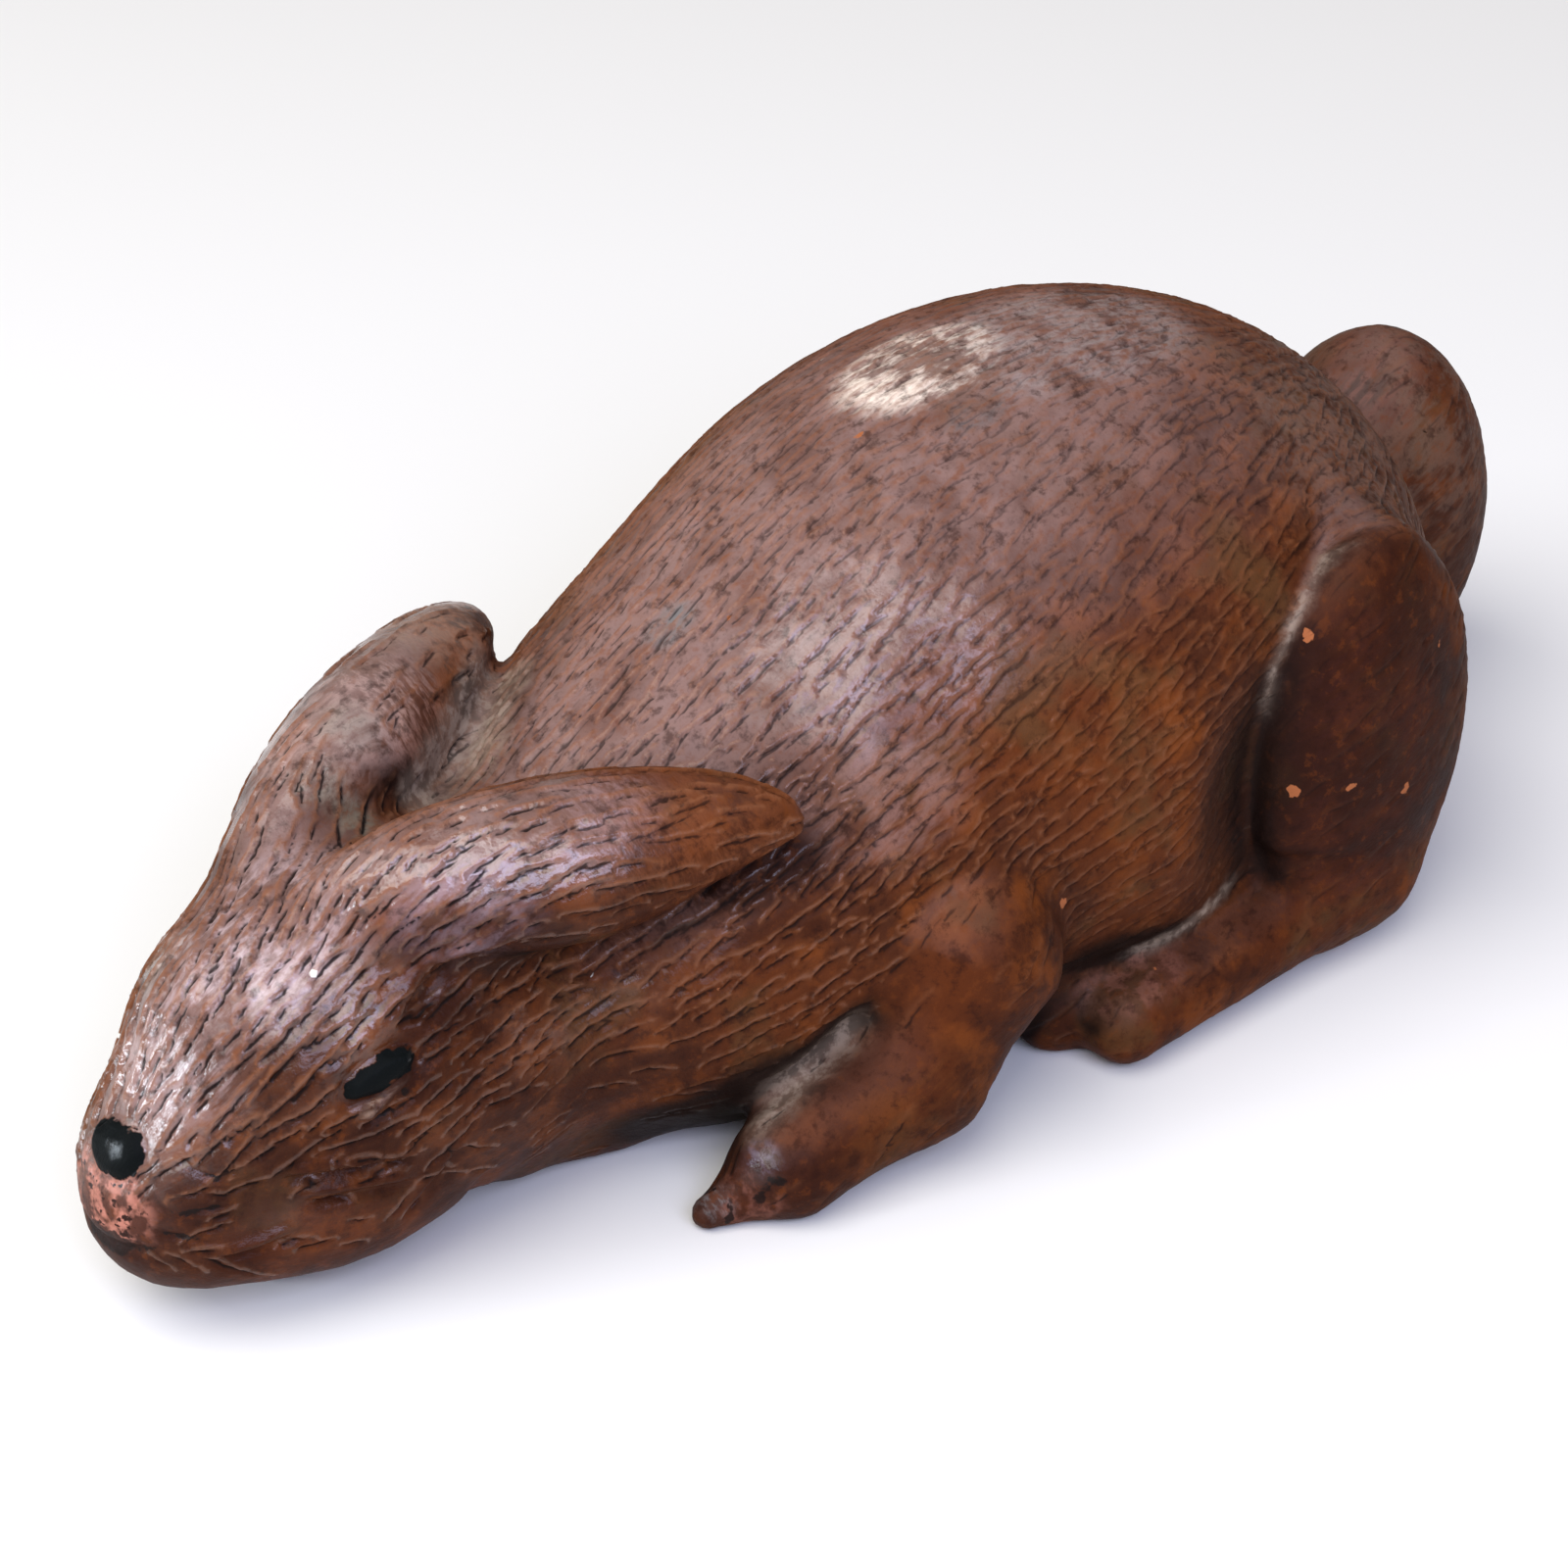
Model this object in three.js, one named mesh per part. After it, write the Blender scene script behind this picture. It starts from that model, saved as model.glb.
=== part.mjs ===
// A terracotta figurine of a rabbit, lying with its chin on the ground, its ears laid back and its tail up.
// It is one lump of modelled and fired clay, so it is one solid. The form is a set of rounded volumes
// that melt into each other, as a modeller presses clay together, with tooled grooves before the legs.
// Millimetres. The nose points to -X, the tail to +X, the rabbit's left side to -Y, and up is +Z.
// The origin is the middle of its box, on the ground.

import * as THREE from 'three';

// Body: three eggs that melt together from the tail end to the shoulders.
const RUMP = { centre: [42, 0, 30], radii: [45, 40, 40] };
const BARREL = { centre: [16, 0, 35], radii: [51.5, 39, 42] };
const CHEST = { centre: [-25, 0, 25], radii: [38, 32.5, 30] };
const BACK_MELT = 20;
const SHOULDER_MELT = 16;

// Head: a skull that tilts down to a blunt muzzle, with a cheek on each side. The chin hangs
// a little over a narrow jaw that rests on the ground, and a low throat runs back to the chest.
const SKULL = { centre: [-69, 0, 24.5], radii: [35.5, 20.3, 21.8], turn: [0, 16, 0] };
const MUZZLE = { from: [-84, 0, 19], to: [-100.5, 0, 19.3], radii: [13, 10.8] };
const CHEEK = { centre: [-82, -7.5, 12.5], radii: [17, 8.5, 8.5], turn: [7, 0, 0] };
const CHIN = { centre: [-98.7, 0, 12.5], radii: [10.3, 10.8, 7] };
const JAW = { from: [-91, 0, 3.5], to: [-77, 0, 3.5], radii: [5, 7.5] };
const THROAT = { from: [-60, -6.5, 6.5], to: [-49, -7.5, 4.5], radii: [4.6, 4.8] };
const BROW_MELT = 8;
const FACE_MELT = 6;
const NECK_MELT = 8;

// Ears: lobes laid back in a V. Each is soft where it leaves the forehead and crisp at its tip, and its
// lower half gets thinner from the middle to the tip, over a soft edge that is given in millimetres.
const LEFT_EAR = { centre: [-58.5, -16.5, 48.2], radii: [27, 9, 9.3], turn: [-25, 0, -26] };
const RIGHT_EAR = { centre: [-58.5, -19.3, 46], radii: [27.5, 8.8, 11.3], turn: [-25, -2, -26] };
const EAR_THINNING = 0.5;
const EAR_THINNING_EDGE = [-2, 1];
const EAR_TIP_MELT = 2;
const EAR_ROOT_MELT = 7.5;
const EAR_MELT_BIAS = 1.5;

// Forelegs: upper arm, forearm, a pointed toe and a sole, with a groove between forearm and throat.
const SHOULDER = { from: [-13.5, -31, 22], to: [-21.5, -33.5, 11], radii: [13, 7.8] };
const FOREARM = { from: [-21.5, -33.5, 11], to: [-39.5, -32, 6.2], radii: [7.8, 6.7] };
const FORE_TOE = { from: [-40, -31.5, 5], to: [-49.5, -29, 1.8], radii: [5, 2] };
const FORE_SOLE = { from: [-18, -30, 1.5], to: [-37, -29.5, 1.5], radii: [5, 4.5] };
const FOREARM_GROOVE = { from: [-29.5, -36, 16], to: [-46, -32, 7], radii: [7, 4] };
const ELBOW_MELT = 5;
const TOE_MELT = 3;

// Hind legs: an upright thigh slab over a long foot and its sole, with a groove round the thigh's front.
const THIGH = { centre: [47.7, -39, 29.5], radii: [17, 7.8, 28.3], turn: [0, -4, 0] };
const HIND_FOOT = { from: [50.5, -37.8, 8.5], to: [8.8, -38.5, 5.5], radii: [7, 5.2] };
const HIND_SOLE = { from: [53, -34, 2], to: [12, -35, 1.5], radii: [5, 4.5] };
const THIGH_GROOVE = { centre: [43, -45, 27], radii: [27, 9.5, 29], turn: [0, -5, 0] };
const HEEL_MELT = 5;
const LEG_MELT = 3;
const FOREARM_GROOVE_EDGE = 2.5;
const THIGH_GROOVE_EDGE = 5;

// The haunch melts softly into the rump. The extra softness starts and is full at these X.
const HAUNCH_MELT = 9;
const HAUNCH_RUN = [39, 54];

// Tail: an upright scut behind the rump. Belly: the low fold that shows between the legs.
const TAIL = { centre: [93.8, 0, 28.8], radii: [17.6, 15.7, 25.9] };
const BELLY_FOLD = { centre: [7, -30.5, 5.7], radii: [8, 5.7, 6.8] };
const TAIL_MELT = 5;
const FOLD_MELT = 3;

// The skin is worked out on a grid of this cell. Its reach is counted in cells from the middle of the
// ground: to each end, to each side, and up. Its points then settle onto the form in a few passes.
const CELL = 4;
const REACH = [31, 14, 22];
const SETTLING_PASSES = 3;
const SETTLING_LIMIT = 1.2;
const SLOPE_STEP = 0.1;
const LEAST_SLOPE = 0.25;

const CLAY_COLOUR = 0x6e3a28;
const CLAY_ROUGHNESS = 0.5;

// Takes a point into the own axes of a volume. turn is yaw, pitch and roll.
function ownAxes({ centre, turn = [0, 0, 0] }) {
  const [yaw, pitch, roll] = turn.map(THREE.MathUtils.degToRad);
  const turned = new THREE.Euler(roll, pitch, yaw, 'ZYX');
  const unturn = new THREE.Matrix4().makeRotationFromEuler(turned).transpose();
  const middle = new THREE.Vector3(...centre);
  return (point) => point.clone().sub(middle).applyMatrix4(unturn);
}

// Distance from a point in its own axes to an ellipsoid, close enough near its surface.
function eggDistance(own, radii) {
  const scaled = own.clone().divide(radii);
  const reach = scaled.length();
  return (reach * (reach - 1)) / Math.max(scaled.divide(radii).length(), 1e-9);
}

function ellipsoid(size) {
  const intoOwn = ownAxes(size);
  const radii = new THREE.Vector3(...size.radii);
  return (point) => eggDistance(intoOwn(point), radii);
}

// Distance from a point to a limb: a rod with a round end of its own radius at each end.
function limb({ from, to, radii }) {
  const start = new THREE.Vector3(...from);
  const run = new THREE.Vector3(...to).sub(start);
  return (point) => {
    const out = point.clone().sub(start);
    const along = THREE.MathUtils.clamp(out.dot(run) / run.lengthSq(), 0, 1);
    return out.addScaledVector(run, -along).length() - THREE.MathUtils.lerp(radii[0], radii[1], along);
  };
}

// Joins two distances with a fillet of about the width given, and cuts one out of the other likewise.
function melt(a, b, width) {
  const share = THREE.MathUtils.clamp(0.5 + (0.5 * (b - a)) / width, 0, 1);
  return THREE.MathUtils.lerp(b, a, share) - width * share * (1 - share);
}
const carve = (form, tool, width) => -melt(-form, tool, width);

const volumes = {
  rump: ellipsoid(RUMP),
  barrel: ellipsoid(BARREL),
  chest: ellipsoid(CHEST),
  skull: ellipsoid(SKULL),
  muzzle: limb(MUZZLE),
  cheek: ellipsoid(CHEEK),
  chin: ellipsoid(CHIN),
  jaw: limb(JAW),
  throat: limb(THROAT),
  shoulder: limb(SHOULDER),
  forearm: limb(FOREARM),
  foreToe: limb(FORE_TOE),
  foreSole: limb(FORE_SOLE),
  forearmGroove: limb(FOREARM_GROOVE),
  thigh: ellipsoid(THIGH),
  hindFoot: limb(HIND_FOOT),
  hindSole: limb(HIND_SOLE),
  thighGroove: ellipsoid(THIGH_GROOVE),
  tail: ellipsoid(TAIL),
  bellyFold: ellipsoid(BELLY_FOLD),
};

// The two ears differ a little, so the right one is measured in a mirrored point.
const ears = [[LEFT_EAR, 1], [RIGHT_EAR, -1]].map(([size, hand]) => (
  { hand, radii: new THREE.Vector3(...size.radii), intoOwn: ownAxes(size) }
));

function addEar(form, point, ear) {
  const { smoothstep, clamp, lerp } = THREE.MathUtils;
  const own = ear.intoOwn(new THREE.Vector3(point.x, point.y * ear.hand, point.z));
  const towardTip = own.x / ear.radii.x;
  const below = 1 - smoothstep(own.z, ...EAR_THINNING_EDGE);
  const lower = 1 - EAR_THINNING * smoothstep(towardTip, 0, 1) * below;
  own.z /= lower;
  const distance = Math.sqrt(lower) * eggDistance(own, ear.radii);
  const rootShare = clamp(0.5 - towardTip / 2, 0, 1);
  return melt(form, distance, lerp(EAR_TIP_MELT, EAR_ROOT_MELT, rootShare ** EAR_MELT_BIAS));
}

// The whole rabbit, before its underside is made flat. What comes in pairs is measured on the left side.
function rabbitForm(point) {
  const left = new THREE.Vector3(point.x, -Math.abs(point.y), point.z);
  const at = (name) => volumes[name](left);
  let head = melt(at('skull'), at('muzzle'), BROW_MELT);
  ['cheek', 'chin', 'jaw', 'throat'].forEach((name) => {
    head = melt(head, at(name), FACE_MELT);
  });
  let form = melt(at('rump'), at('barrel'), BACK_MELT);
  form = melt(form, at('chest'), SHOULDER_MELT);
  form = melt(form, head, NECK_MELT);
  form = carve(form, at('thighGroove'), THIGH_GROOVE_EDGE);
  form = carve(form, at('forearmGroove'), FOREARM_GROOVE_EDGE);
  const arm = melt(melt(at('shoulder'), at('forearm'), ELBOW_MELT), at('foreToe'), TOE_MELT);
  const leg = melt(at('thigh'), at('hindFoot'), HEEL_MELT);
  const haunchMelt = HAUNCH_MELT * THREE.MathUtils.smoothstep(point.x, ...HAUNCH_RUN);
  form = melt(form, melt(arm, at('foreSole'), LEG_MELT), LEG_MELT);
  form = melt(form, melt(leg, at('hindSole'), LEG_MELT), LEG_MELT + haunchMelt);
  form = melt(form, at('tail'), TAIL_MELT);
  form = melt(form, at('bellyFold'), FOLD_MELT);
  return ears.reduce((whole, ear) => addEar(whole, point, ear), form);
}

// Moves a point of the skin along the slope of the form until it lies on the surface. The points of the
// flat underside move sideways only, and only where they stand out past the form.
function settle(point, axes) {
  const start = point.clone();
  for (let pass = 0; pass < SETTLING_PASSES; pass += 1) {
    const here = rabbitForm(point);
    const slope = new THREE.Vector3();
    axes.forEach((axis) => {
      const beside = point.clone();
      beside[axis] += SLOPE_STEP;
      slope[axis] = (rabbitForm(beside) - here) / SLOPE_STEP;
    });
    point.addScaledVector(slope, -here / Math.max(slope.lengthSq(), LEAST_SLOPE));
  }
  point.sub(start).clampLength(0, SETTLING_LIMIT).add(start);
}

// The corners of a grid cell, with its edges as pairs of corners and its faces as groups of four edges.
const AXES = [0, 1, 2];
const CORNERS = [0, 1, 2, 3, 4, 5, 6, 7].map((n) => new THREE.Vector3(n & 1, (n >> 1) & 1, n >> 2));
const EDGES = CORNERS.flatMap((_, n) => (
  AXES.filter((axis) => !(n & (1 << axis))).map((axis) => [n, n | (1 << axis)])
));
const FACES = AXES.flatMap((axis) => [0, 1].map((side) => EDGES.filter(
  (edge) => edge.every((n) => ((n >> axis) & 1) === side),
)));

// The crossed edges of a cell, grouped by the separate sheets of skin that pass through it. In a tight
// fold two sheets share a cell, and each gets a vertex of its own, so that the skin never pinches.
function sheetsOf(inside) {
  const crossed = ([n, m]) => inside[n] !== inside[m];
  let sheets = EDGES.filter(crossed).map((edge) => [edge]);
  FACES.forEach((face) => {
    const cut = face.filter(crossed);
    cut.forEach((one, index) => cut.slice(index + 1).forEach((other) => {
      const meet = one.some((n) => inside[n] && other.includes(n));
      if (cut.length > 2 && !meet) return;
      const joined = sheets.filter((sheet) => sheet.includes(one) || sheet.includes(other));
      sheets = [...sheets.filter((sheet) => !joined.includes(sheet)), joined.flat()];
    }));
  });
  return sheets;
}

// The closed skin of the form: a vertex in each grid cell for each sheet that passes through it, and one
// four-sided face across each grid edge that the surface crosses, cut in two along its shorter diagonal.
// The ground runs through the middle of the lowest layer of cells, and the skin is flat there.
function skin() {
  const count = [2 * REACH[0] + 1, 2 * REACH[1] + 1, REACH[2] + 1];
  const number = (i, j, k) => (i * count[1] + j) * count[2] + k;
  const place = (i, j, k) => new THREE.Vector3(i - REACH[0], j - REACH[1], k - 0.5).multiplyScalar(CELL);
  const eachNode = (visit, margin) => {
    for (let i = 0; i < count[0] - margin; i += 1) {
      for (let j = 0; j < count[1] - margin; j += 1) {
        for (let k = 0; k < count[2] - margin; k += 1) visit(i, j, k);
      }
    }
  };
  const field = new Float64Array(count[0] * count[1] * count[2]);
  eachNode((i, j, k) => {
    const point = place(i, j, k);
    field[number(i, j, k)] = Math.max(rabbitForm(point), -point.z);
  }, 0);

  const points = [];
  const vertexOf = new Map();
  const key = (cell, n, m) => (cell * 8 + n) * 8 + m;
  eachNode((i, j, k) => {
    const values = CORNERS.map((c) => field[number(i + c.x, j + c.y, k + c.z)]);
    const inside = values.map((value) => value < 0);
    sheetsOf(inside).forEach((sheet) => {
      const point = new THREE.Vector3();
      sheet.forEach(([n, m]) => {
        point.add(CORNERS[n].clone().lerp(CORNERS[m], values[n] / (values[n] - values[m])));
        vertexOf.set(key(number(i, j, k), n, m), points.length);
      });
      point.multiplyScalar(CELL / sheet.length).add(place(i, j, k));
      const onGround = k === 0;
      if (onGround) point.z = 0;
      const atRim = inside.slice(4).includes(false) || rabbitForm(point) > 0;
      if (!onGround) settle(point, ['x', 'y', 'z']);
      else if (atRim) settle(point, ['x', 'y']);
      point.z = Math.max(point.z, 0);
      points.push(point);
    });
  }, 1);

  const faces = [];
  eachNode((i, j, k) => {
    AXES.forEach((axis) => {
      const inside = field[number(i, j, k)] < 0;
      const next = [i, j, k].map((value, other) => value + (other === axis ? 1 : 0));
      if (inside === field[number(...next)] < 0) return;
      const [u, v] = [(axis + 1) % 3, (axis + 2) % 3];
      const round = [[1, 1], [0, 1], [0, 0], [1, 0]].map(([a, b]) => {
        const cell = [i, j, k];
        cell[u] -= a;
        cell[v] -= b;
        const n = (a << u) | (b << v);
        return vertexOf.get(key(number(...cell), n, n | (1 << axis)));
      });
      const [a, b, c, d] = inside ? round : round.reverse();
      const across = points[a].distanceTo(points[c]) <= points[b].distanceTo(points[d]);
      faces.push(...(across ? [a, b, c, a, c, d] : [a, b, d, b, c, d]));
    });
  }, 1);

  const geometry = new THREE.BufferGeometry();
  const positions = points.flatMap((point) => point.toArray());
  geometry.setAttribute('position', new THREE.Float32BufferAttribute(positions, 3));
  geometry.setIndex(faces);
  return geometry;
}

// The origin moves to the middle of the box, on the ground.
const geometry = skin();
geometry.computeBoundingBox();
const middle = geometry.boundingBox.getCenter(new THREE.Vector3());
geometry.translate(-middle.x, -middle.y, 0);
geometry.computeVertexNormals();

const clay = new THREE.MeshStandardMaterial({
  name: 'terracotta',
  color: CLAY_COLOUR,
  roughness: CLAY_ROUGHNESS,
  metalness: 0,
});
const rabbit = new THREE.Mesh(geometry, clay);
rabbit.name = 'rabbit';

const figurine = new THREE.Group();
figurine.add(rabbit);
export default figurine;
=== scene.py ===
import math

import bpy
import numpy as np
from mathutils import Euler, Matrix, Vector


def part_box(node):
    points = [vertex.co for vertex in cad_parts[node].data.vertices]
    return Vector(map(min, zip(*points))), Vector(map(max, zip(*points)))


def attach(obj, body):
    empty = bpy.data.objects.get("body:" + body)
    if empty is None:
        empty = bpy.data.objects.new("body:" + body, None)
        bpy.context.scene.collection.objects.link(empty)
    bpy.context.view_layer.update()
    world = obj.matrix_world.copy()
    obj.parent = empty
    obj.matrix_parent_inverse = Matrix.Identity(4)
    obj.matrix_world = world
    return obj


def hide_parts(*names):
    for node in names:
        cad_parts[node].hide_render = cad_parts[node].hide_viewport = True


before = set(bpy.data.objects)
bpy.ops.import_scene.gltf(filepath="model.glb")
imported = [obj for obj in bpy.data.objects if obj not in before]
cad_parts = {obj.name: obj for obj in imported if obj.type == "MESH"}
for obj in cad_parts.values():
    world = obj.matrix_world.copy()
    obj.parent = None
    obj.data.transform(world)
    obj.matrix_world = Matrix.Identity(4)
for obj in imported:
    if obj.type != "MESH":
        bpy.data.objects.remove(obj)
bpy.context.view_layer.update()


# The body. Three lumps of terracotta clay pressed together from the rump to the chest, with the joins
# smoothed over by thumb. The shapes are distances in millimetres from a point to each lump, below
# zero inside it, with the nose towards -X, the tail towards +X, the left side at -Y and up at +Z.
RUMP = dict(centre=(42, 0, 30), radii=(45, 40, 40))
BARREL = dict(centre=(16, 0, 35), radii=(51.5, 39, 42))
CHEST = dict(centre=(-25, 0, 25), radii=(38, 32.5, 30))
BACK_MELT = 20
SHOULDER_MELT = 16


def turning(yaw, pitch, roll):
    return np.array(Euler([math.radians(a) for a in (roll, pitch, yaw)], "XYZ").to_matrix())


def egg(points, centre, radii, turn=(0, 0, 0)):
    scaled = (points - centre) @ turning(*turn) / radii
    reach = np.linalg.norm(scaled, axis=1)
    return reach * (reach - 1) / np.maximum(np.linalg.norm(scaled / radii, axis=1), 1e-9)


def melt(one, other, width):
    share = np.clip(0.5 + 0.5 * (other - one) / width, 0, 1)
    return other + (one - other) * share - width * share * (1 - share)


def body_form(points):
    trunk = melt(egg(points, **RUMP), egg(points, **BARREL), BACK_MELT)
    return melt(trunk, egg(points, **CHEST), SHOULDER_MELT)


# The head. A skull that slopes down to a blunt muzzle, with full cheeks, a chin and a jaw that lies on
# the ground. It is the same clay, melted into the chest at the neck.
SKULL = dict(centre=(-69, 0, 24.5), radii=(35.5, 20.3, 21.8), turn=(0, 16, 0))
MUZZLE = dict(start=(-84, 0, 19), end=(-100.5, 0, 19.3), radii=(13, 10.8))
CHEEK = dict(centre=(-82, -7.5, 12.5), radii=(17, 8.5, 8.5), turn=(7, 0, 0))
CHIN = dict(centre=(-98.7, 0, 12.5), radii=(10.3, 10.8, 7))
JAW = dict(start=(-91, 0, 3.5), end=(-77, 0, 3.5), radii=(5, 7.5))
THROAT = dict(start=(-60, -6.5, 6.5), end=(-49, -7.5, 4.5), radii=(4.6, 4.8))
BROW_MELT = 8
FACE_MELT = 6
NECK_MELT = 8


def limb(points, start, end, radii):
    run = np.subtract(end, start)
    out = points - start
    along = np.clip(out @ run / (run @ run), 0, 1)
    return np.linalg.norm(out - along[:, None] * run, axis=1) - (radii[0] + (radii[1] - radii[0]) * along)


def on_left(points):
    """The points, with those of the right half moved to their mirror image on the left."""
    return points * (1, -1, 1) * np.where(points[:, 1:2] > 0, (1, 1, 1), (1, -1, 1))


def head_form(points):
    head = melt(egg(points, **SKULL), limb(points, **MUZZLE), BROW_MELT)
    left = on_left(points)
    for lump in (egg(left, **CHEEK), egg(points, **CHIN), limb(points, **JAW), limb(left, **THROAT)):
        head = melt(head, lump, FACE_MELT)
    return head


# The ears. Two lobes laid back in a V over the neck, soft where they leave the forehead and crisp at
# the tips. They were laid on by hand, so the right one sits a little lower and is broader.
LEFT_EAR = dict(centre=(-58.5, -16.5, 48.2), radii=(27, 9, 9.3), turn=(-25, 0, -26))
RIGHT_EAR = dict(centre=(-58.5, -19.3, 46), radii=(27.5, 8.8, 11.3), turn=(-25, -2, -26))
EAR_THINNING = 0.5
EAR_THINNING_EDGE = (-2, 1)
EAR_TIP_MELT = 2
EAR_ROOT_MELT = 7.5
EAR_MELT_BIAS = 1.5


def smooth(value, start, end):
    """0 up to the start, 1 past the end, and an even slope between them."""
    share = np.clip((value - start) / (end - start), 0, 1)
    return share * share * (3 - 2 * share)


def fading(value, start, end):
    """1 up to the start and 0 past the end."""
    return 1 - smooth(value, start, end)


def both_ears(points):
    """Each ear's distance, and how near the point is to that ear's root, from 0 at the tip to 1."""
    for size, side in ((LEFT_EAR, 1), (RIGHT_EAR, -1)):
        own = (points * (1, side, 1) - size["centre"]) @ turning(*size["turn"])
        toward_tip = own[:, 0] / size["radii"][0]
        lower = 1 - EAR_THINNING * smooth(toward_tip, 0, 1) * fading(own[:, 2], *EAR_THINNING_EDGE)
        own[:, 2] /= lower
        yield lower ** 0.5 * egg(own, (0, 0, 0), size["radii"]), np.clip(0.5 - toward_tip / 2, 0, 1)


def add_ears(form, points):
    for ear, root in both_ears(points):
        form = melt(form, ear, EAR_TIP_MELT + (EAR_ROOT_MELT - EAR_TIP_MELT) * root ** EAR_MELT_BIAS)
    return form


# The legs, tucked along the body: short forelegs with a pointed toe, and folded hind legs with an
# upright thigh over a long foot. A tool has cut a groove into the body in front of each of them.
SHOULDER = dict(start=(-13.5, -31, 22), end=(-21.5, -33.5, 11), radii=(13, 7.8))
FOREARM = dict(start=(-21.5, -33.5, 11), end=(-39.5, -32, 6.2), radii=(7.8, 6.7))
FORE_TOE = dict(start=(-40, -31.5, 5), end=(-49.5, -29, 1.8), radii=(5, 2))
FORE_SOLE = dict(start=(-18, -30, 1.5), end=(-37, -29.5, 1.5), radii=(5, 4.5))
FOREARM_GROOVE = dict(start=(-29.5, -36, 16), end=(-46, -32, 7), radii=(7, 4))
THIGH = dict(centre=(47.7, -39, 29.5), radii=(17, 7.8, 28.3), turn=(0, -4, 0))
HIND_FOOT = dict(start=(50.5, -37.8, 8.5), end=(8.8, -38.5, 5.5), radii=(7, 5.2))
HIND_SOLE = dict(start=(53, -34, 2), end=(12, -35, 1.5), radii=(5, 4.5))
THIGH_GROOVE = dict(centre=(43, -45, 27), radii=(27, 9.5, 29), turn=(0, -5, 0))
JOINT_MELT = 5
LEG_MELT = 3
HAUNCH_MELT = 9
HAUNCH_RUN = (39, 54)
FOREARM_GROOVE_EDGE = 2.5
THIGH_GROOVE_EDGE = 5


def carve(form, tool, width):
    return -melt(-form, tool, width)


def foreleg_form(left):
    arm = melt(limb(left, **SHOULDER), limb(left, **FOREARM), JOINT_MELT)
    return melt(melt(arm, limb(left, **FORE_TOE), LEG_MELT), limb(left, **FORE_SOLE), LEG_MELT)


def hind_leg_form(left):
    leg = melt(egg(left, **THIGH), limb(left, **HIND_FOOT), JOINT_MELT)
    return melt(leg, limb(left, **HIND_SOLE), LEG_MELT)


def add_legs(form, left):
    form = carve(form, egg(left, **THIGH_GROOVE), THIGH_GROOVE_EDGE)
    form = carve(form, limb(left, **FOREARM_GROOVE), FOREARM_GROOVE_EDGE)
    haunch = smooth(left[:, 0], *HAUNCH_RUN)
    form = melt(form, foreleg_form(left), LEG_MELT)
    return melt(form, hind_leg_form(left), LEG_MELT + HAUNCH_MELT * haunch)


# The tail and the belly. The tail is an upright egg of clay pressed on behind the rump, and a low fold
# of the belly shows between the legs. Below, the whole rabbit was set down wet, so it is flat.
TAIL = dict(centre=(93.8, 0, 28.8), radii=(17.6, 15.7, 25.9))
BELLY_FOLD = dict(centre=(7, -30.5, 5.7), radii=(8, 5.7, 6.8))
TAIL_MELT = 5
FOLD_MELT = 3
UNDERSIDE_EDGE = 1


def rabbit_form(points):
    left = on_left(points)
    form = melt(body_form(points), head_form(points), NECK_MELT)
    form = add_legs(form, left)
    form = melt(form, egg(points, **TAIL), TAIL_MELT)
    form = melt(form, egg(left, **BELLY_FOLD), FOLD_MELT)
    form = add_ears(form, points)
    return carve(form, points[:, 2], UNDERSIDE_EDGE)


# The skin. One closed sheet of small four-sided faces over the whole form: a vertex in each grid cell
# that the surface passes through, one finer division, and then every vertex drawn onto the form.
MM = 0.001
CELL = 0.69
BLOCK = 4
MARGIN = 2 * CELL * BLOCK
BAND = 4.2
SLOPE_STEP = 0.05
LEAST_STEEPNESS = 0.1
SETTLING_PASSES = 2
low, high = (np.array(corner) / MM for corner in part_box("rabbit"))
low, high = low - MARGIN, high + MARGIN
blocks = np.ceil((high - low) / (CELL * BLOCK)).astype(int)


def grid(shape, step):
    steps = [step * (0.5 + np.arange(n)) for n in shape]
    return low + np.stack(np.meshgrid(*steps, indexing="ij"), -1).reshape(-1, 3)


def settled(points, passes):
    """The points drawn onto the form's surface, and the outward direction at each."""
    for _ in range(passes):
        here = rabbit_form(points)
        slope = np.stack([rabbit_form(points + SLOPE_STEP * axis) - here for axis in np.eye(3)], 1)
        slope /= SLOPE_STEP
        steepness = np.maximum((slope ** 2).sum(1), LEAST_STEEPNESS)
        points = points - (here / steepness)[:, None] * slope
    return points, slope / np.sqrt(steepness)[:, None]


def form_field():
    """The form's distance on the fine grid, worked out only in blocks that lie near the surface."""
    field = rabbit_form(grid(blocks, CELL * BLOCK)).reshape(blocks)
    for axis in range(3):
        field = np.repeat(field, BLOCK, axis)
    near = (np.abs(field) < BAND).ravel()
    fine = field.ravel()
    fine[near] = rabbit_form(grid(field.shape, CELL)[near])
    return fine.reshape(field.shape)


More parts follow.
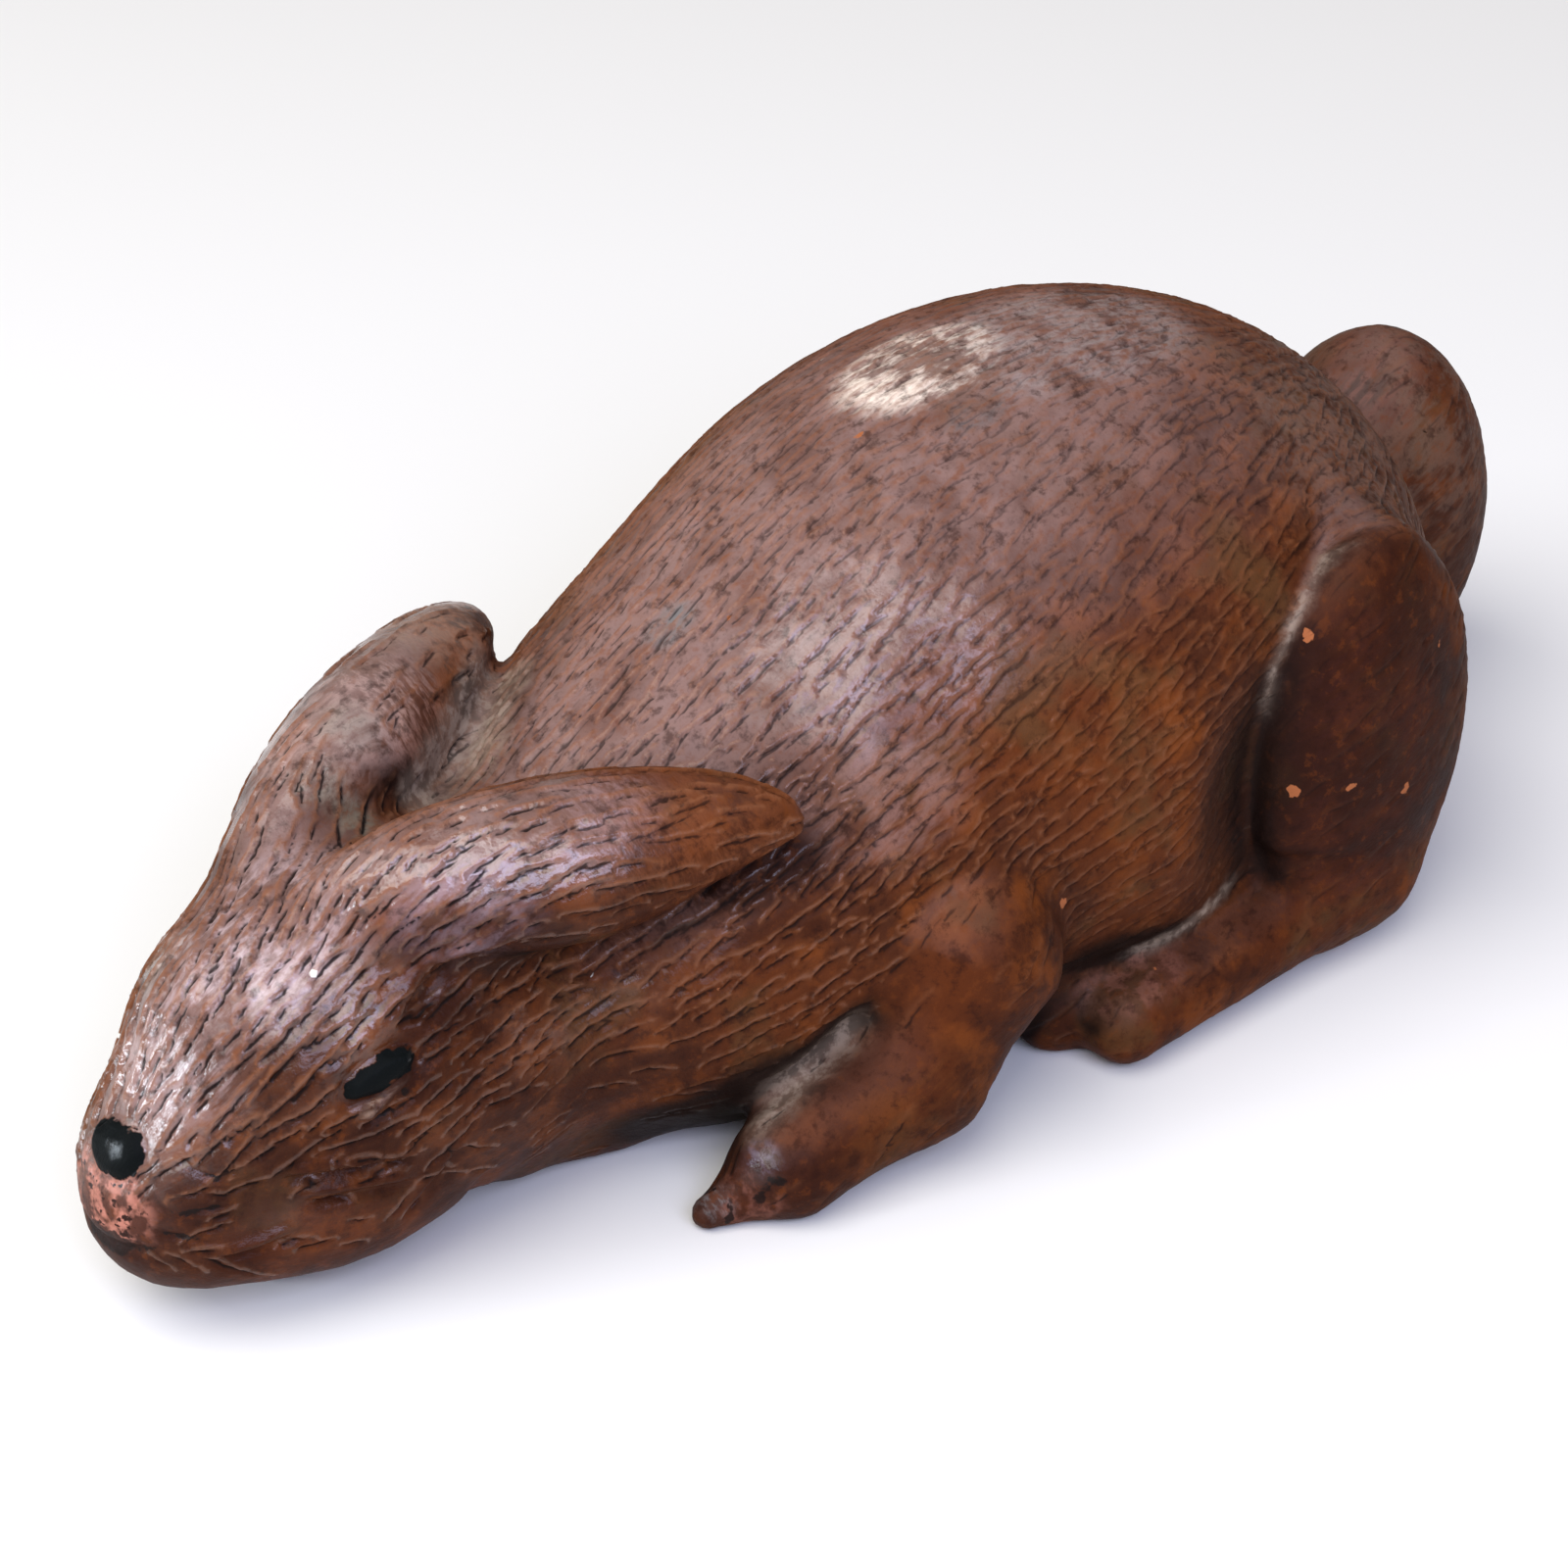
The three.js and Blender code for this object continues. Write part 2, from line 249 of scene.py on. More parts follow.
def skin_net():
    """A vertex in each cell that the surface cuts, and a face round each grid edge that it cuts."""
    field = form_field()
    inside = field < 0
    corners = np.zeros(np.subtract(field.shape, 1), int)
    span = [slice(0, -1), slice(1, None)]
    for i, j, k in np.ndindex(2, 2, 2):
        corners += inside[span[i], span[j], span[k]]
    cells = np.argwhere((corners > 0) & (corners < 8))
    number = np.full(corners.shape, -1)
    number[tuple(cells.T)] = np.arange(len(cells))
    total = np.zeros((len(cells), 3))
    count = np.zeros(len(cells))
    quads = []
    for axis in range(3):
        u, v = (axis + 1) % 3, (axis + 2) % 3
        for i, j in np.ndindex(2, 2):
            start = cells.copy()
            start[:, u] += i
            start[:, v] += j
            end = start.copy()
            end[:, axis] += 1
            a, b = field[tuple(start.T)], field[tuple(end.T)]
            crossed = (a < 0) != (b < 0)
            spot = start[crossed].astype(float)
            spot[:, axis] += a[crossed] / (a[crossed] - b[crossed])
            total[crossed] += spot
            count[crossed] += 1
        first = np.take(inside, range(inside.shape[axis] - 1), axis)
        edges = np.argwhere(first != np.take(inside, range(1, inside.shape[axis]), axis))
        ring = []
        for i, j in ((1, 1), (0, 1), (0, 0), (1, 0)):
            cell = edges.copy()
            cell[:, u] -= i
            cell[:, v] -= j
            ring.append(number[tuple(cell.T)])
        ring = np.stack(ring, 1)
        leaving = first[tuple(edges.T)]
        quads.append(np.where(leaving[:, None], ring, ring[:, ::-1]))
    return low + CELL * (0.5 + total / count[:, None]), np.concatenate(quads)


def add_piece(name, points, faces):
    mesh = bpy.data.meshes.new(name)
    mesh.from_pydata(points, [], faces)
    piece = bpy.data.objects.new(name, mesh)
    bpy.context.collection.objects.link(piece)
    return piece


def applied(piece):
    graph = bpy.context.evaluated_depsgraph_get()
    mesh = bpy.data.meshes.new_from_object(piece.evaluated_get(graph))
    piece.modifiers.clear()
    piece.data = mesh
    return mesh


net, quads = skin_net()
rabbit = add_piece("rabbit_skin", (net * MM).tolist(), quads.tolist())
finer = rabbit.modifiers.new("finer", "SUBSURF")
finer.subdivision_type = "SIMPLE"
finer.levels = finer.render_levels = 1
skin = applied(rabbit)
spots = np.zeros(len(skin.vertices) * 3)
skin.vertices.foreach_get("co", spots)
spots, outward = settled(spots.reshape(-1, 3) / MM, SETTLING_PASSES)
left_spots = on_left(spots)


# The face. The eyes, the nose, the mouth and the creases of the cheeks are pressed and drawn with a
# round tool in the soft clay. Nose and eyes carry a black glaze, polished in the middle of the nose.
NOSE = dict(centre=(-108.8, -1.3, 26.4), radii=(3.2, 3.6, 2.8), turn=(8, 35, 0))
NOSE_BUTTON = dict(rise=0.6, edge=(-0.8, 0.5), ring=(0.9, 0.6), ring_depth=0.3)
NOSE_GLAZE_EDGE = (-0.8, 1.2)
NOSE_GLINT = (-108.9, -1.8, 26.6)
NOSE_GLINT_WIDTH = 1.8
EYE = dict(centre=(-84.8, -17.2, 32.7), radii=(4.5, 2.6, 1.9), turn=(-10, -19, 0))
EYE_BUTTON = dict(rise=0.2, edge=(-1.4, 0.2), ring=(0.4, 0.9), ring_depth=0.9)
EYE_GLAZE_EDGE = (-0.8, 1)
FACE_CREASES = (  # path, width, depth and ridge of those of cheek, jowl, jaw, lip and neck
    (((-97, -13, 22.3), (-90.2, -16, 21.9), (-81.1, -18.4, 20.4)), 0.8, 1.1, 0.9),
    (((-95.3, -14, 18.9), (-88, -16.6, 18.2), (-81.1, -18, 16.9)), 0.9, 1, 0.8),
    (((-75.2, -19, 20.4), (-79.8, -17.9, 15.4), (-83.6, -17, 11.6)), 0.9, 1, 0.6),
    (((-104.3, -10.6, 13.8), (-99.6, -13, 14.2), (-94.8, -14.8, 15.2)), 0.7, 0.8, 0.6),
    (((-71, -11, 4), (-71.6, -13, 8.2), (-71, -16.5, 14)), 1.8, 1.3, 0),
)
LOWER_LID = ((-88.6, -16.8, 28.6), (-86.7, -17.4, 28.9), (-84.8, -17.9, 30.1), (-81, -18.4, 32.2))
LID_WIDTH, LID_RISE, LID_BARE = 0.5, 1, 0.9
UNDER_LID_DROP, UNDER_LID_WIDTH, UNDER_LID_DEPTH = (-0.4, 0, 1.5), 0.7, 0.6
BROW = ((-66, -22, 47), (-71, -19.5, 45.4), (-75, -16.4, 43.6), (-79, -15.4, 40.6), (-84, -15.8, 37.2))
BROW_WIDTH, BROW_RISE = 1.1, 1.1
UNDER_BROW_DROP, UNDER_BROW_WIDTH, UNDER_BROW_DEPTH = (0.5, 0, 3), 1.5, 1.1
MOUTH = ((-110.8, 4, 15.2), (-111.2, -1, 14.8), (-110.2, -4.6, 15.2), (-108, -8, 16.6))
MOUTH_WIDTH, MOUTH_DEPTH = 0.9, 0.6
WHISKER_LINES = (
    ((-108.2, -7, 22.3), (-105.8, -9, 19.8), (-102.7, -11.2, 17.9)),
    ((-107.3, -8.4, 20.2), (-104.4, -10, 20.7), (-101.4, -11.3, 20.5)),
    ((-105, -7.7, 26.8), (-103.4, -9.4, 25), (-101.6, -11, 23.6)),
    ((-108.9, -7, 18.6), (-106.3, -9.6, 17.5), (-103.2, -11.6, 16)),
)
WHISKER_WIDTH, WHISKER_DEPTH = 0.45, 0.5
LINE_END = (-0.02, 0.25)
RIDGE_OFFSET = 1.5


def tool_line(path, width):
    """1 on the line drawn through the points of the path, fading to 0 past its width and at its ends."""
    path = np.array(path, float)
    lengths = np.linalg.norm(np.diff(path, axis=0), axis=1)
    best = np.full(len(left_spots), np.inf)
    along = np.zeros(len(left_spots))
    for start, end, before, length in zip(path, path[1:], np.cumsum(lengths) - lengths, lengths):
        share = np.clip((left_spots - start) @ (end - start) / length ** 2, 0, 1)
        away = np.linalg.norm(left_spots - start - share[:, None] * (end - start), axis=1)
        along = np.where(away < best, before + share * length, along)
        best = np.minimum(best, away)
    ends = np.minimum(along, lengths.sum() - along) / lengths.sum()
    return np.exp(-(best / width) ** 2) * smooth(ends, *LINE_END)


def draw_crease(path, width, depth, ridge):
    """A drawn line, with the clay that the tool pushed up along its upper side."""
    above = np.array(path, float) + (0, 0, RIDGE_OFFSET * width)
    return ridge * tool_line(above, width) - depth * tool_line(path, width)


def ring_round(distance, middle, width):
    return np.exp(-((distance - middle) / width) ** 2)


def press_button(distance, rise, edge, ring, ring_depth):
    """A raised spot with a shallow ring pressed round it."""
    return rise * fading(distance, *edge) - ring_depth * ring_round(distance, *ring)


nose = egg(spots, **NOSE)
eye = egg(left_spots, **EYE)
relief = press_button(nose, **NOSE_BUTTON)
relief += press_button(eye, **EYE_BUTTON)
for crease in FACE_CREASES:
    relief += draw_crease(*crease)
lid = tool_line(LOWER_LID, LID_WIDTH)
under_lid = tool_line(np.subtract(LOWER_LID, UNDER_LID_DROP), UNDER_LID_WIDTH)
relief += LID_RISE * lid - UNDER_LID_DEPTH * under_lid
relief += BROW_RISE * tool_line(BROW, BROW_WIDTH)
under_brow = np.subtract(BROW, UNDER_BROW_DROP)
relief -= UNDER_BROW_DEPTH * tool_line(under_brow, UNDER_BROW_WIDTH)
scored = np.maximum.reduce([tool_line(path, WHISKER_WIDTH) for path in WHISKER_LINES])
relief -= WHISKER_DEPTH * scored
mouth = tool_line(MOUTH, MOUTH_WIDTH)
relief -= MOUTH_DEPTH * mouth
glaze = np.maximum(fading(nose, *NOSE_GLAZE_EDGE), fading(eye, *EYE_GLAZE_EDGE) - LID_BARE * lid)
gloss = ring_round(np.linalg.norm(spots - NOSE_GLINT, axis=1), 0, NOSE_GLINT_WIDTH)


# The paws. A dark claw at the tip of each forefoot, a notch that parts the toes, a knuckle above it,
# and on the hind leg a crease between thigh and foot with a small lump in front of it. The round tool
# made all of them, and scored the joins where the limbs meet the body.
CLAW = dict(centre=(-50, -29.8, 3.2), radii=(2.6, 2.2, 1.7))
CLAW_BUTTON = dict(rise=0.1, edge=(-0.8, 0.4), ring=(0.6, 0.6), ring_depth=0.15)
TOE_NOTCH = ((-47.6, -34.2, 3.4), (-45.2, -35, 7.4), (-42.6, -36.6, 7.6))
PAW_CREASES = (  # path, width, depth and ridge of those of fore toes, hind foot, hind toes and shoulder
    (TOE_NOTCH, 0.9, 0.8, 0.5),
    (((29.5, -37, 20.2), (35, -42, 19), (43, -45.8, 17.6)), 1.5, 0.8, 0.4),
    (((4.6, -37.5, 9.2), (8.5, -41.5, 8.2), (14, -43, 7)), 1.0, 0.5, 0.3),
    (((-26.6, -35.7, 19.5), (-22, -40.5, 17), (-18.5, -42.2, 13)), 1.8, 0.5, 0.2),
)
LEG_LUMP = dict(centre=(32, -39.5, 22.5), radii=(4.5, 3, 3.5))
LEG_LUMP_RISE, LEG_LUMP_EDGE = 0.7, (-1.5, 1.5)
KNUCKLE = dict(centre=(-45.6, -32.4, 8.8), radii=(2.6, 2.6, 2))
KNUCKLE_RISE, KNUCKLE_EDGE = 0.5, (-1.5, 1)
THIGH_RIM = ((46.2, -39.2, 58), (40.8, -36.9, 56), (33.9, -38.4, 51.4), (30.6, -38.7, 46.5),
             (30.3, -38.1, 38))
THIGH_RIM_WIDTH, THIGH_RIM_RISE = 1.3, 0.6
CLOSE_REACH, WIDE_REACH = 2.5, 10
SCORE_DEPTH, SCORE_EDGE, SCORE_HEIGHT = 0.3, (0.2, 0.8), (2, 6)


def hollowness(reach):
    """0 in the open, and near 1 where the form closes in within the reach."""
    return np.clip(1 - rabbit_form(spots + reach * outward) / reach, 0, 1)


claw = egg(left_spots, **CLAW)
hollow_close, hollow_wide = hollowness(CLOSE_REACH), hollowness(WIDE_REACH)
relief -= SCORE_DEPTH * smooth(hollow_close, *SCORE_EDGE) * smooth(spots[:, 2], *SCORE_HEIGHT)
relief += press_button(claw, **CLAW_BUTTON)
for crease in PAW_CREASES:
    relief += draw_crease(*crease)
relief += LEG_LUMP_RISE * fading(egg(left_spots, **LEG_LUMP), *LEG_LUMP_EDGE)
relief += KNUCKLE_RISE * fading(egg(left_spots, **KNUCKLE), *KNUCKLE_EDGE)
relief += THIGH_RIM_RISE * tool_line(THIGH_RIM, THIGH_RIM_WIDTH)
spots += outward * relief[:, None]


# The lie of the fur. It starts at the nose, fans over the head, runs along the ears, and goes up and
# back over the body. It is dense on the head and the back, and faint on the legs and the tail.
FAN_POINT = np.array((-112, 0, 15))
FAN_REACH = 45
BODY_LIE = np.array((0.9, 0, 0.42))
LEG_LIE = np.array((0.75, -0.1, 0.65))
EAR_LIE = np.array((0.93, -0.36, 0))
NECK_RUN = (-66, -38)
NAPE_RUN = (-38, 12)
CROWN_HEIGHT, CROWN_MIDDLE, CROWN_SIDE, CROWN_SWEEP = (38, 46), 2, (6, 14), 0.35
JOWL_HEIGHT, JOWL_SWEEP, JOWL_WAVE, JOWL_RIPPLE = (18, 30), 0.7, 2.7, 2.1
LEG_EDGE, TAIL_EDGE, EAR_EDGE = (0.2, 1.5), (0.5, 2.5), (0.3, 2.2)
EAR_ROOT, EAR_LIE_ROOT, LEFT_BALD_ROOT = (0.75, 1), (0.35, 0.8), (0.3, 0.6)
LEFT_EAR_BALD, RIGHT_EAR_BALD = 0.25, 0.65
LOW_COVER, COVER_GAIN, COVER_HEIGHT, COVER_FACES = 0.55, 0.45, (8, 34), (-0.75, -0.35)
PAW_COVER, TAIL_COVER = 0.3, 0.2
JOWL_THINNING = 0.45
MUZZLE_COVER, NOSE_COVER, EYE_COVER = (-110, -106), (0.8, 2), (0.6, 1.8)
BODY_DEPTH, NAPE_DEPTH, LEG_SHALLOWNESS = 0.62, 0.2, 0.5
BODY_INK, NAPE_INK, HEAD_INK = 0.35, 0.35, 0.9


def unit(vectors):
    return vectors / np.maximum(np.linalg.norm(vectors, axis=-1, keepdims=True), 1e-9)


x, y, z = spots.T
side_of = np.where(y > 0, -1, 1)[:, None]
on_body = smooth(x, *NECK_RUN)[:, None]
before_body = 1 - on_body[:, 0]
fan = unit(spots - FAN_POINT)
lie = fan + (BODY_LIE - fan) * on_body
crown = smooth(z, *CROWN_HEIGHT) * fading(np.abs(y - CROWN_MIDDLE), *CROWN_SIDE) * before_body
lie[:, 1] += CROWN_SWEEP * crown
on_foreleg = fading(foreleg_form(left_spots), *LEG_EDGE)
on_hind_leg = fading(hind_leg_form(left_spots), *LEG_EDGE)
on_legs = np.maximum(on_foreleg, on_hind_leg)
on_tail = fading(egg(spots, **TAIL), *TAIL_EDGE)
leg_lie = LEG_LIE * np.hstack([np.ones_like(side_of), side_of, np.ones_like(side_of)])
lie += (leg_lie - lie) * on_foreleg[:, None]
fan_place = np.hstack([np.linalg.norm(spots - FAN_POINT, axis=1)[:, None], FAN_REACH * fan[:, 1:]])
body_axes = np.stack([unit(BODY_LIE), (0, 1, 0), unit(np.cross(BODY_LIE, (0, 1, 0)))], 1)
grain = fan_place + (spots @ body_axes - fan_place) * on_body
on_ears, bald = np.zeros((2, len(spots)))
for (ear, root), side in zip(both_ears(spots), (1, -1)):
    on_ear = fading(ear, *EAR_EDGE) * fading(root, *EAR_ROOT)
    lie += (EAR_LIE * (1, side, 1) - lie) * (on_ear * fading(root, *EAR_LIE_ROOT))[:, None]
    on_ears = np.maximum(on_ears, on_ear)
    own_bald = RIGHT_EAR_BALD if side < 0 else LEFT_EAR_BALD * fading(root, *LEFT_BALD_ROOT)
    bald = np.maximum(bald, on_ear * own_bald)
on_jowl = before_body * fading(z, *JOWL_HEIGHT)
lie[:, 2] += JOWL_SWEEP * on_jowl * np.sin(x / JOWL_WAVE + 1.3 * np.sin(z / JOWL_RIPPLE))
lie = unit(lie - (lie * outward).sum(1)[:, None] * outward)
cover = (LOW_COVER + COVER_GAIN * smooth(z, *COVER_HEIGHT)) * smooth(outward[:, 2], *COVER_FACES)
cover *= 1 - (1 - PAW_COVER) * on_legs
cover *= 1 - JOWL_THINNING * on_jowl
cover *= (1 - (1 - TAIL_COVER) * on_tail) * (1 - bald)
cover *= smooth(x, *MUZZLE_COVER) * smooth(nose, *NOSE_COVER) * smooth(eye, *EYE_COVER)
on_head = before_body * (1 - on_legs)
on_nape = fading(x, *NAPE_RUN)
depth = np.maximum(BODY_DEPTH + NAPE_DEPTH * on_nape, on_head)
depth = depth * (1 - LEG_SHALLOWNESS * np.maximum(on_legs, on_tail))
ink = np.maximum(BODY_INK + NAPE_INK * on_nape, HEAD_INK * on_head)


# The stains, and light and shade painted into the colour. Dark wax has run into the hollows, and
# there the near black is also painted shade, more where they face down. Pale dust lies beside the
# right ear and along the legs' front edges, where the pale line along the thigh's rim is a painted
# highlight. The wax has rubbed off the muzzle and the toes, and chips show orange clay. Painted shade
# darkens the thigh, the lower parts, the sides of the head, the line under the brow and a few listed
# places, and the upward faces are paler, partly from wear and partly as painted sheen. The clay's own
# tint changes from place to place, some tinted spots paint highlights and shade, and a few white
# specks of lime show in it.
MUZZLE_RUB = dict(centre=(-111.5, -1.5, 20.5), radii=(4, 7, 5.5), edge=(-1, 1.5))
TOE_RUB = dict(centre=(-46.5, -33, 4), radii=(3.5, 4, 4), edge=(-1, 1))
HIND_TOE_RUB = dict(centre=(10, -38, 10.5), radii=(8, 4, 2.5), edge=(-1, 1.5))
TOE_RUB_SHARE, HIND_TOE_RUB_SHARE = 0.25, 0.3
LIP_STAIN = dict(centre=(-111, -0.5, 15.3), radii=(2, 4.5, 1.3), edge=(-0.5, 1.2))
CLAW_OUTLINE, NOTCH_WIDTH = (0.4, 0.6), 1.1
LIP_DARK, MOUTH_DARK, WHISKER_DARK, LID_DARK, CLAW_DARK, NOTCH_DARK = 0.9, 0.75, 0.8, 0.7, 0.5, 0.9
SHOULDER_SHINE = dict(centre=(-14, -18, 58), radii=(18, 12, 9), edge=(-5, 5))
KNUCKLE_SHINE = dict(KNUCKLE, edge=(-1, 1.5))
SIDE_WAX, CROWN_WAX, SHOULDER_WAX = 0.1, 0.9, 0.8
HEAD_WAX_FACES, EAR_WAX_FACES, WAX_HOLLOWS = (0, 0.45), (0, 0.4), (0.1, 0.4)
THIGH_SHADE, THIGH_SHADE_HEIGHT = 0.82, (10, 20)
LOW_SHADE, LOW_SHADE_HEIGHT, LOW_SHADE_OFF_THIGH = 0.55, (6, 40), 0.6
FORELEG_LIGHT, FORELEG_LIGHT_HEIGHT = 0.4, (8, 16)
HEAD_SHADE, HEAD_SHADE_FACES = 0.66, (-0.1, 0.35)
BROW_SHADE, BROW_SHADE_WIDTH = 0.7, 2.4
VALLEY_DUST, VALLEY_DUST_EDGE = dict(start=(-60, 8.5, 45.5), end=(-42.5, 16, 49), radii=(2.6, 4.2)), (-1, 2.5)
EAR_DUST, EAR_DUST_EDGE = dict(start=(-50, 22, 54), end=(-44, 24, 54), radii=(5, 4)), (-2, 3)
EAR_DUST_SHARE = 0.4
DUST_AND_RIM_LIGHT_LINES = (
    (((-26, -32, 21), (-28.4, -30.7, 19.7), (-30.8, -29.8, 17), (-35, -29.4, 14.9), (-40.1, -30, 12.7),
      (-46, -30.9, 9.7)), 2.1),
    # painted highlight: a pale line along the thigh's front rim
    (THIGH_RIM, 0.9),
    (((29.2, -37.3, 17), (24.5, -38, 15.2), (20.4, -38.2, 14.4), (15.3, -37.1, 13.1), (9.9, -35.3, 12)), 0.8),
)
# painted sheen with wear: the faces turned up towards the high window light are paler
SHEEN_FACES, SHEEN_EDGE = np.array((-0.4, -0.12, 0.9)), (0.56, 0.98)
RUMP_DULLING, RUMP_RUN, LEG_DULLING = 0.5, (25, 80), 0.85
EAR_REAR_RUN, EAR_REAR_DULLING = (-62, -50), 0.8
# painted shade round and under the eyes, beside the muzzle and under the ears' tips, on both sides
PAINTED_SHADE_PLACES = (
    ((-77.5, -18, 33), (8, 5, 7), 0.95), ((-89, -16, 25.5), (10, 5, 4), 0.75),
    ((-103, -11, 20), (5, 4, 4), 0.6), ((-40, -26, 43), (10, 5.5, 4.5), 0.95),
)
# Spots of colour: most are the clay's own tints, dust and stains, and some, marked below, paint highlights,
# sheen and shade.
TINTS_AND_PAINTED_LIGHT = (
    ((-66, 14, 55), (13, 9, 8), (0.42, 0.27, 0.23), 0.8),
    ((-41, 24, 51), (13, 9, 10), (0.27, 0.10, 0.047), 0.9),
    # painted sheen with wear: the forehead pale pink
    ((-88, -3, 44), (15, 10, 8), (0.50, 0.37, 0.37), 0.9),
    # painted highlight with wear on the muzzle's top
    ((-100, -3, 35), (8, 8, 7), (0.44, 0.32, 0.31), 0.75),
    # painted lilac highlight on the head beside the left ear's root
    ((-74, -18, 48), (10, 6, 7), (0.36, 0.26, 0.30), 0.6),
    ((-55, 11, 50), (8, 4.5, 5), (0.20, 0.062, 0.02), 0.9),
    ((94, -8, 42), (20, 16, 18), (0.13, 0.078, 0.055), 0.65),
    ((62, -20, 62), (26, 18, 14), (0.155, 0.10, 0.078), 0.65),
    # painted sheen with wear on the neck above the shoulder
    ((-23, -29, 47), (12, 7, 9), (0.27, 0.15, 0.125), 0.6),
    # painted sheen with wear on the left ear's top
    ((-59, -21, 56), (9, 6, 6), (0.33, 0.20, 0.19), 0.6),
    ((11, 3, 77), (12, 8, 4), (0.95, 0.80, 0.66), 0.9),
    ((33, -3, 77), (22, 12, 6), (0.31, 0.25, 0.23), 0.7),
    ((10, -9, 76), (5, 3, 3), (0.10, 0.10, 0.10), 0.6),
    ((-30, -1, 59.5), (4, 2.6, 3), (0.15, 0.17, 0.17), 0.75),
    ((-73, 8, 53), (3.5, 3.5, 3.5), (0.17, 0.17, 0.13), 0.7),
    ((-71, 4, 48.5), (3, 3, 3), (0.17, 0.17, 0.13), 0.7),
    ((-66, 12, 55.5), (3.5, 3.5, 3.5), (0.19, 0.19, 0.15), 0.7),
    ((-96, 5, 41), (5, 4, 5), (0.26, 0.23, 0.18), 0.55),
    ((86.5, -4.5, 51), (4, 3, 3), (0.05, 0.03, 0.03), 0.6),
    # painted shade on the thigh's outer side
    ((40, -46, 34), (16, 8, 24), (0.07, 0.02, 0.016), 0.6),
    ((-47, -27, 51), (15, 9, 9), (0.155, 0.045, 0.016), 0.75),
    # painted shadow under the left ear's tip
    ((-41, -24.5, 42), (11, 5, 4.5), (0.008, 0.004, 0.003), 0.97),
    ((-51, 9, 46), (7, 4.5, 4), (0.34, 0.25, 0.18), 0.6),
    # painted shade on the neck under the left ear
    ((-58, -18, 35), (12, 5, 4), (0.055, 0.015, 0.007), 0.8),
    ((-49.6, -30.2, 3.8), (2.4, 2.2, 2.2), (0.30, 0.27, 0.26), 1),
    # painted lilac highlight on the knuckle
    ((-45.3, -33, 9.6), (2.6, 2.6, 2), (0.27, 0.21, 0.27), 0.8),
    ((-91, -15, 12), (14, 9, 6), (0.16, 0.036, 0.008), 0.6),
    ((-28, -41, 11), (12, 6, 8), (0.14, 0.042, 0.011), 0.6),
)
LID_HIGHLIGHT, LID_HIGHLIGHT_SHARE = (0.34, 0.22, 0.16), 0.9
SPOT_FADE, TINT_PAST_RIM, SHADE_PAST_RIM = 0.6, 0.4, 0.5
CHIPS = (
    ((35.1, -40.3, 49.4), 0.7), ((38.5, -45.6, 29.4), 0.7), ((48.4, -46.7, 25.4), 0.7),
    ((53.9, -45.1, 43.1), 0.5), ((48, -46.6, 35.6), 0.4), ((32.1, -42.2, 29.9), 0.8),
    ((-2.4, -37.7, 27.2), 0.7), ((-72.8, 1.6, 48.4), 0.5), ((-2.7, -2.6, 74), 0.5),
    ((-25.5, -6.7, 61.5), 0.5), ((-57.8, -25.9, 44.4), 0.5), ((13, -38.5, 11.6), 0.9),
    ((-45.6, -26.8, 30.1), 0.6), ((20, 41, 40), 0.9), ((-8, 30, 52), 0.7), ((44, 46.5, 30), 0.9),
    ((70, 12, 62), 0.7),
)
SPECKS = (
    ((-87.5, -9.8, 43.5), 0.55), ((9.7, 17, 72.9), 0.65), ((3.1, 13.6, 73), 0.45),
    ((-37.6, -13.8, 51.7), 0.6), ((-101.3, 7.8, 32.6), 0.5), ((-56.8, -18.8, 33.1), 0.4),
    ((30, 36, 52), 0.5), ((-60, 20, 30), 0.5),
)


def patch(points, edge, **shape):
    return fading(egg(points, **shape), *edge)


def soft_spot(points, centre, radii, past_rim):
    """1 in the middle of the spot, fading to 0 a little past its rim."""
    return fading(egg(points, centre, radii), -SPOT_FADE * min(radii), past_rim * min(radii))


def dots(places):
    near = np.zeros(len(spots))
    for centre, radius in places:
        near = np.maximum(near, 1 - np.linalg.norm(spots - centre, axis=1) / (2 * radius))
    return near


def store(kind, **layers):
    """Keeps each list of values on the skin's vertices under its own name."""
    field = {"FLOAT": "value", "FLOAT_VECTOR": "vector", "FLOAT_COLOR": "color"}[kind]
    for name, values in layers.items():
        skin.attributes.new(name, kind, "POINT").data.foreach_set(field, values.ravel())


# real dust, and the painted highlight along the thigh's rim
dust = np.maximum.reduce([
    fading(limb(spots, **VALLEY_DUST), *VALLEY_DUST_EDGE),
    EAR_DUST_SHARE * fading(limb(spots, **EAR_DUST), *EAR_DUST_EDGE),
    *(tool_line(path, width) for path, width in DUST_AND_RIM_LIGHT_LINES),
])
bare = np.maximum.reduce([
    patch(spots, **MUZZLE_RUB),
    TOE_RUB_SHARE * patch(left_spots, **TOE_RUB),
    HIND_TOE_RUB_SHARE * patch(left_spots, **HIND_TOE_RUB),
])
stain = np.maximum.reduce([
    LIP_DARK * patch(spots, **LIP_STAIN), MOUTH_DARK * mouth, WHISKER_DARK * scored, LID_DARK * under_lid,
    CLAW_DARK * ring_round(claw, *CLAW_OUTLINE), NOTCH_DARK * tool_line(TOE_NOTCH, NOTCH_WIDTH),
])
wax = np.maximum.reduce([
    on_head * (SIDE_WAX + CROWN_WAX * smooth(outward[:, 2], *HEAD_WAX_FACES)),
    on_ears * smooth(outward[:, 2], *EAR_WAX_FACES),
    SHOULDER_WAX * patch(spots, **SHOULDER_SHINE), patch(left_spots, **KNUCKLE_SHINE),
])
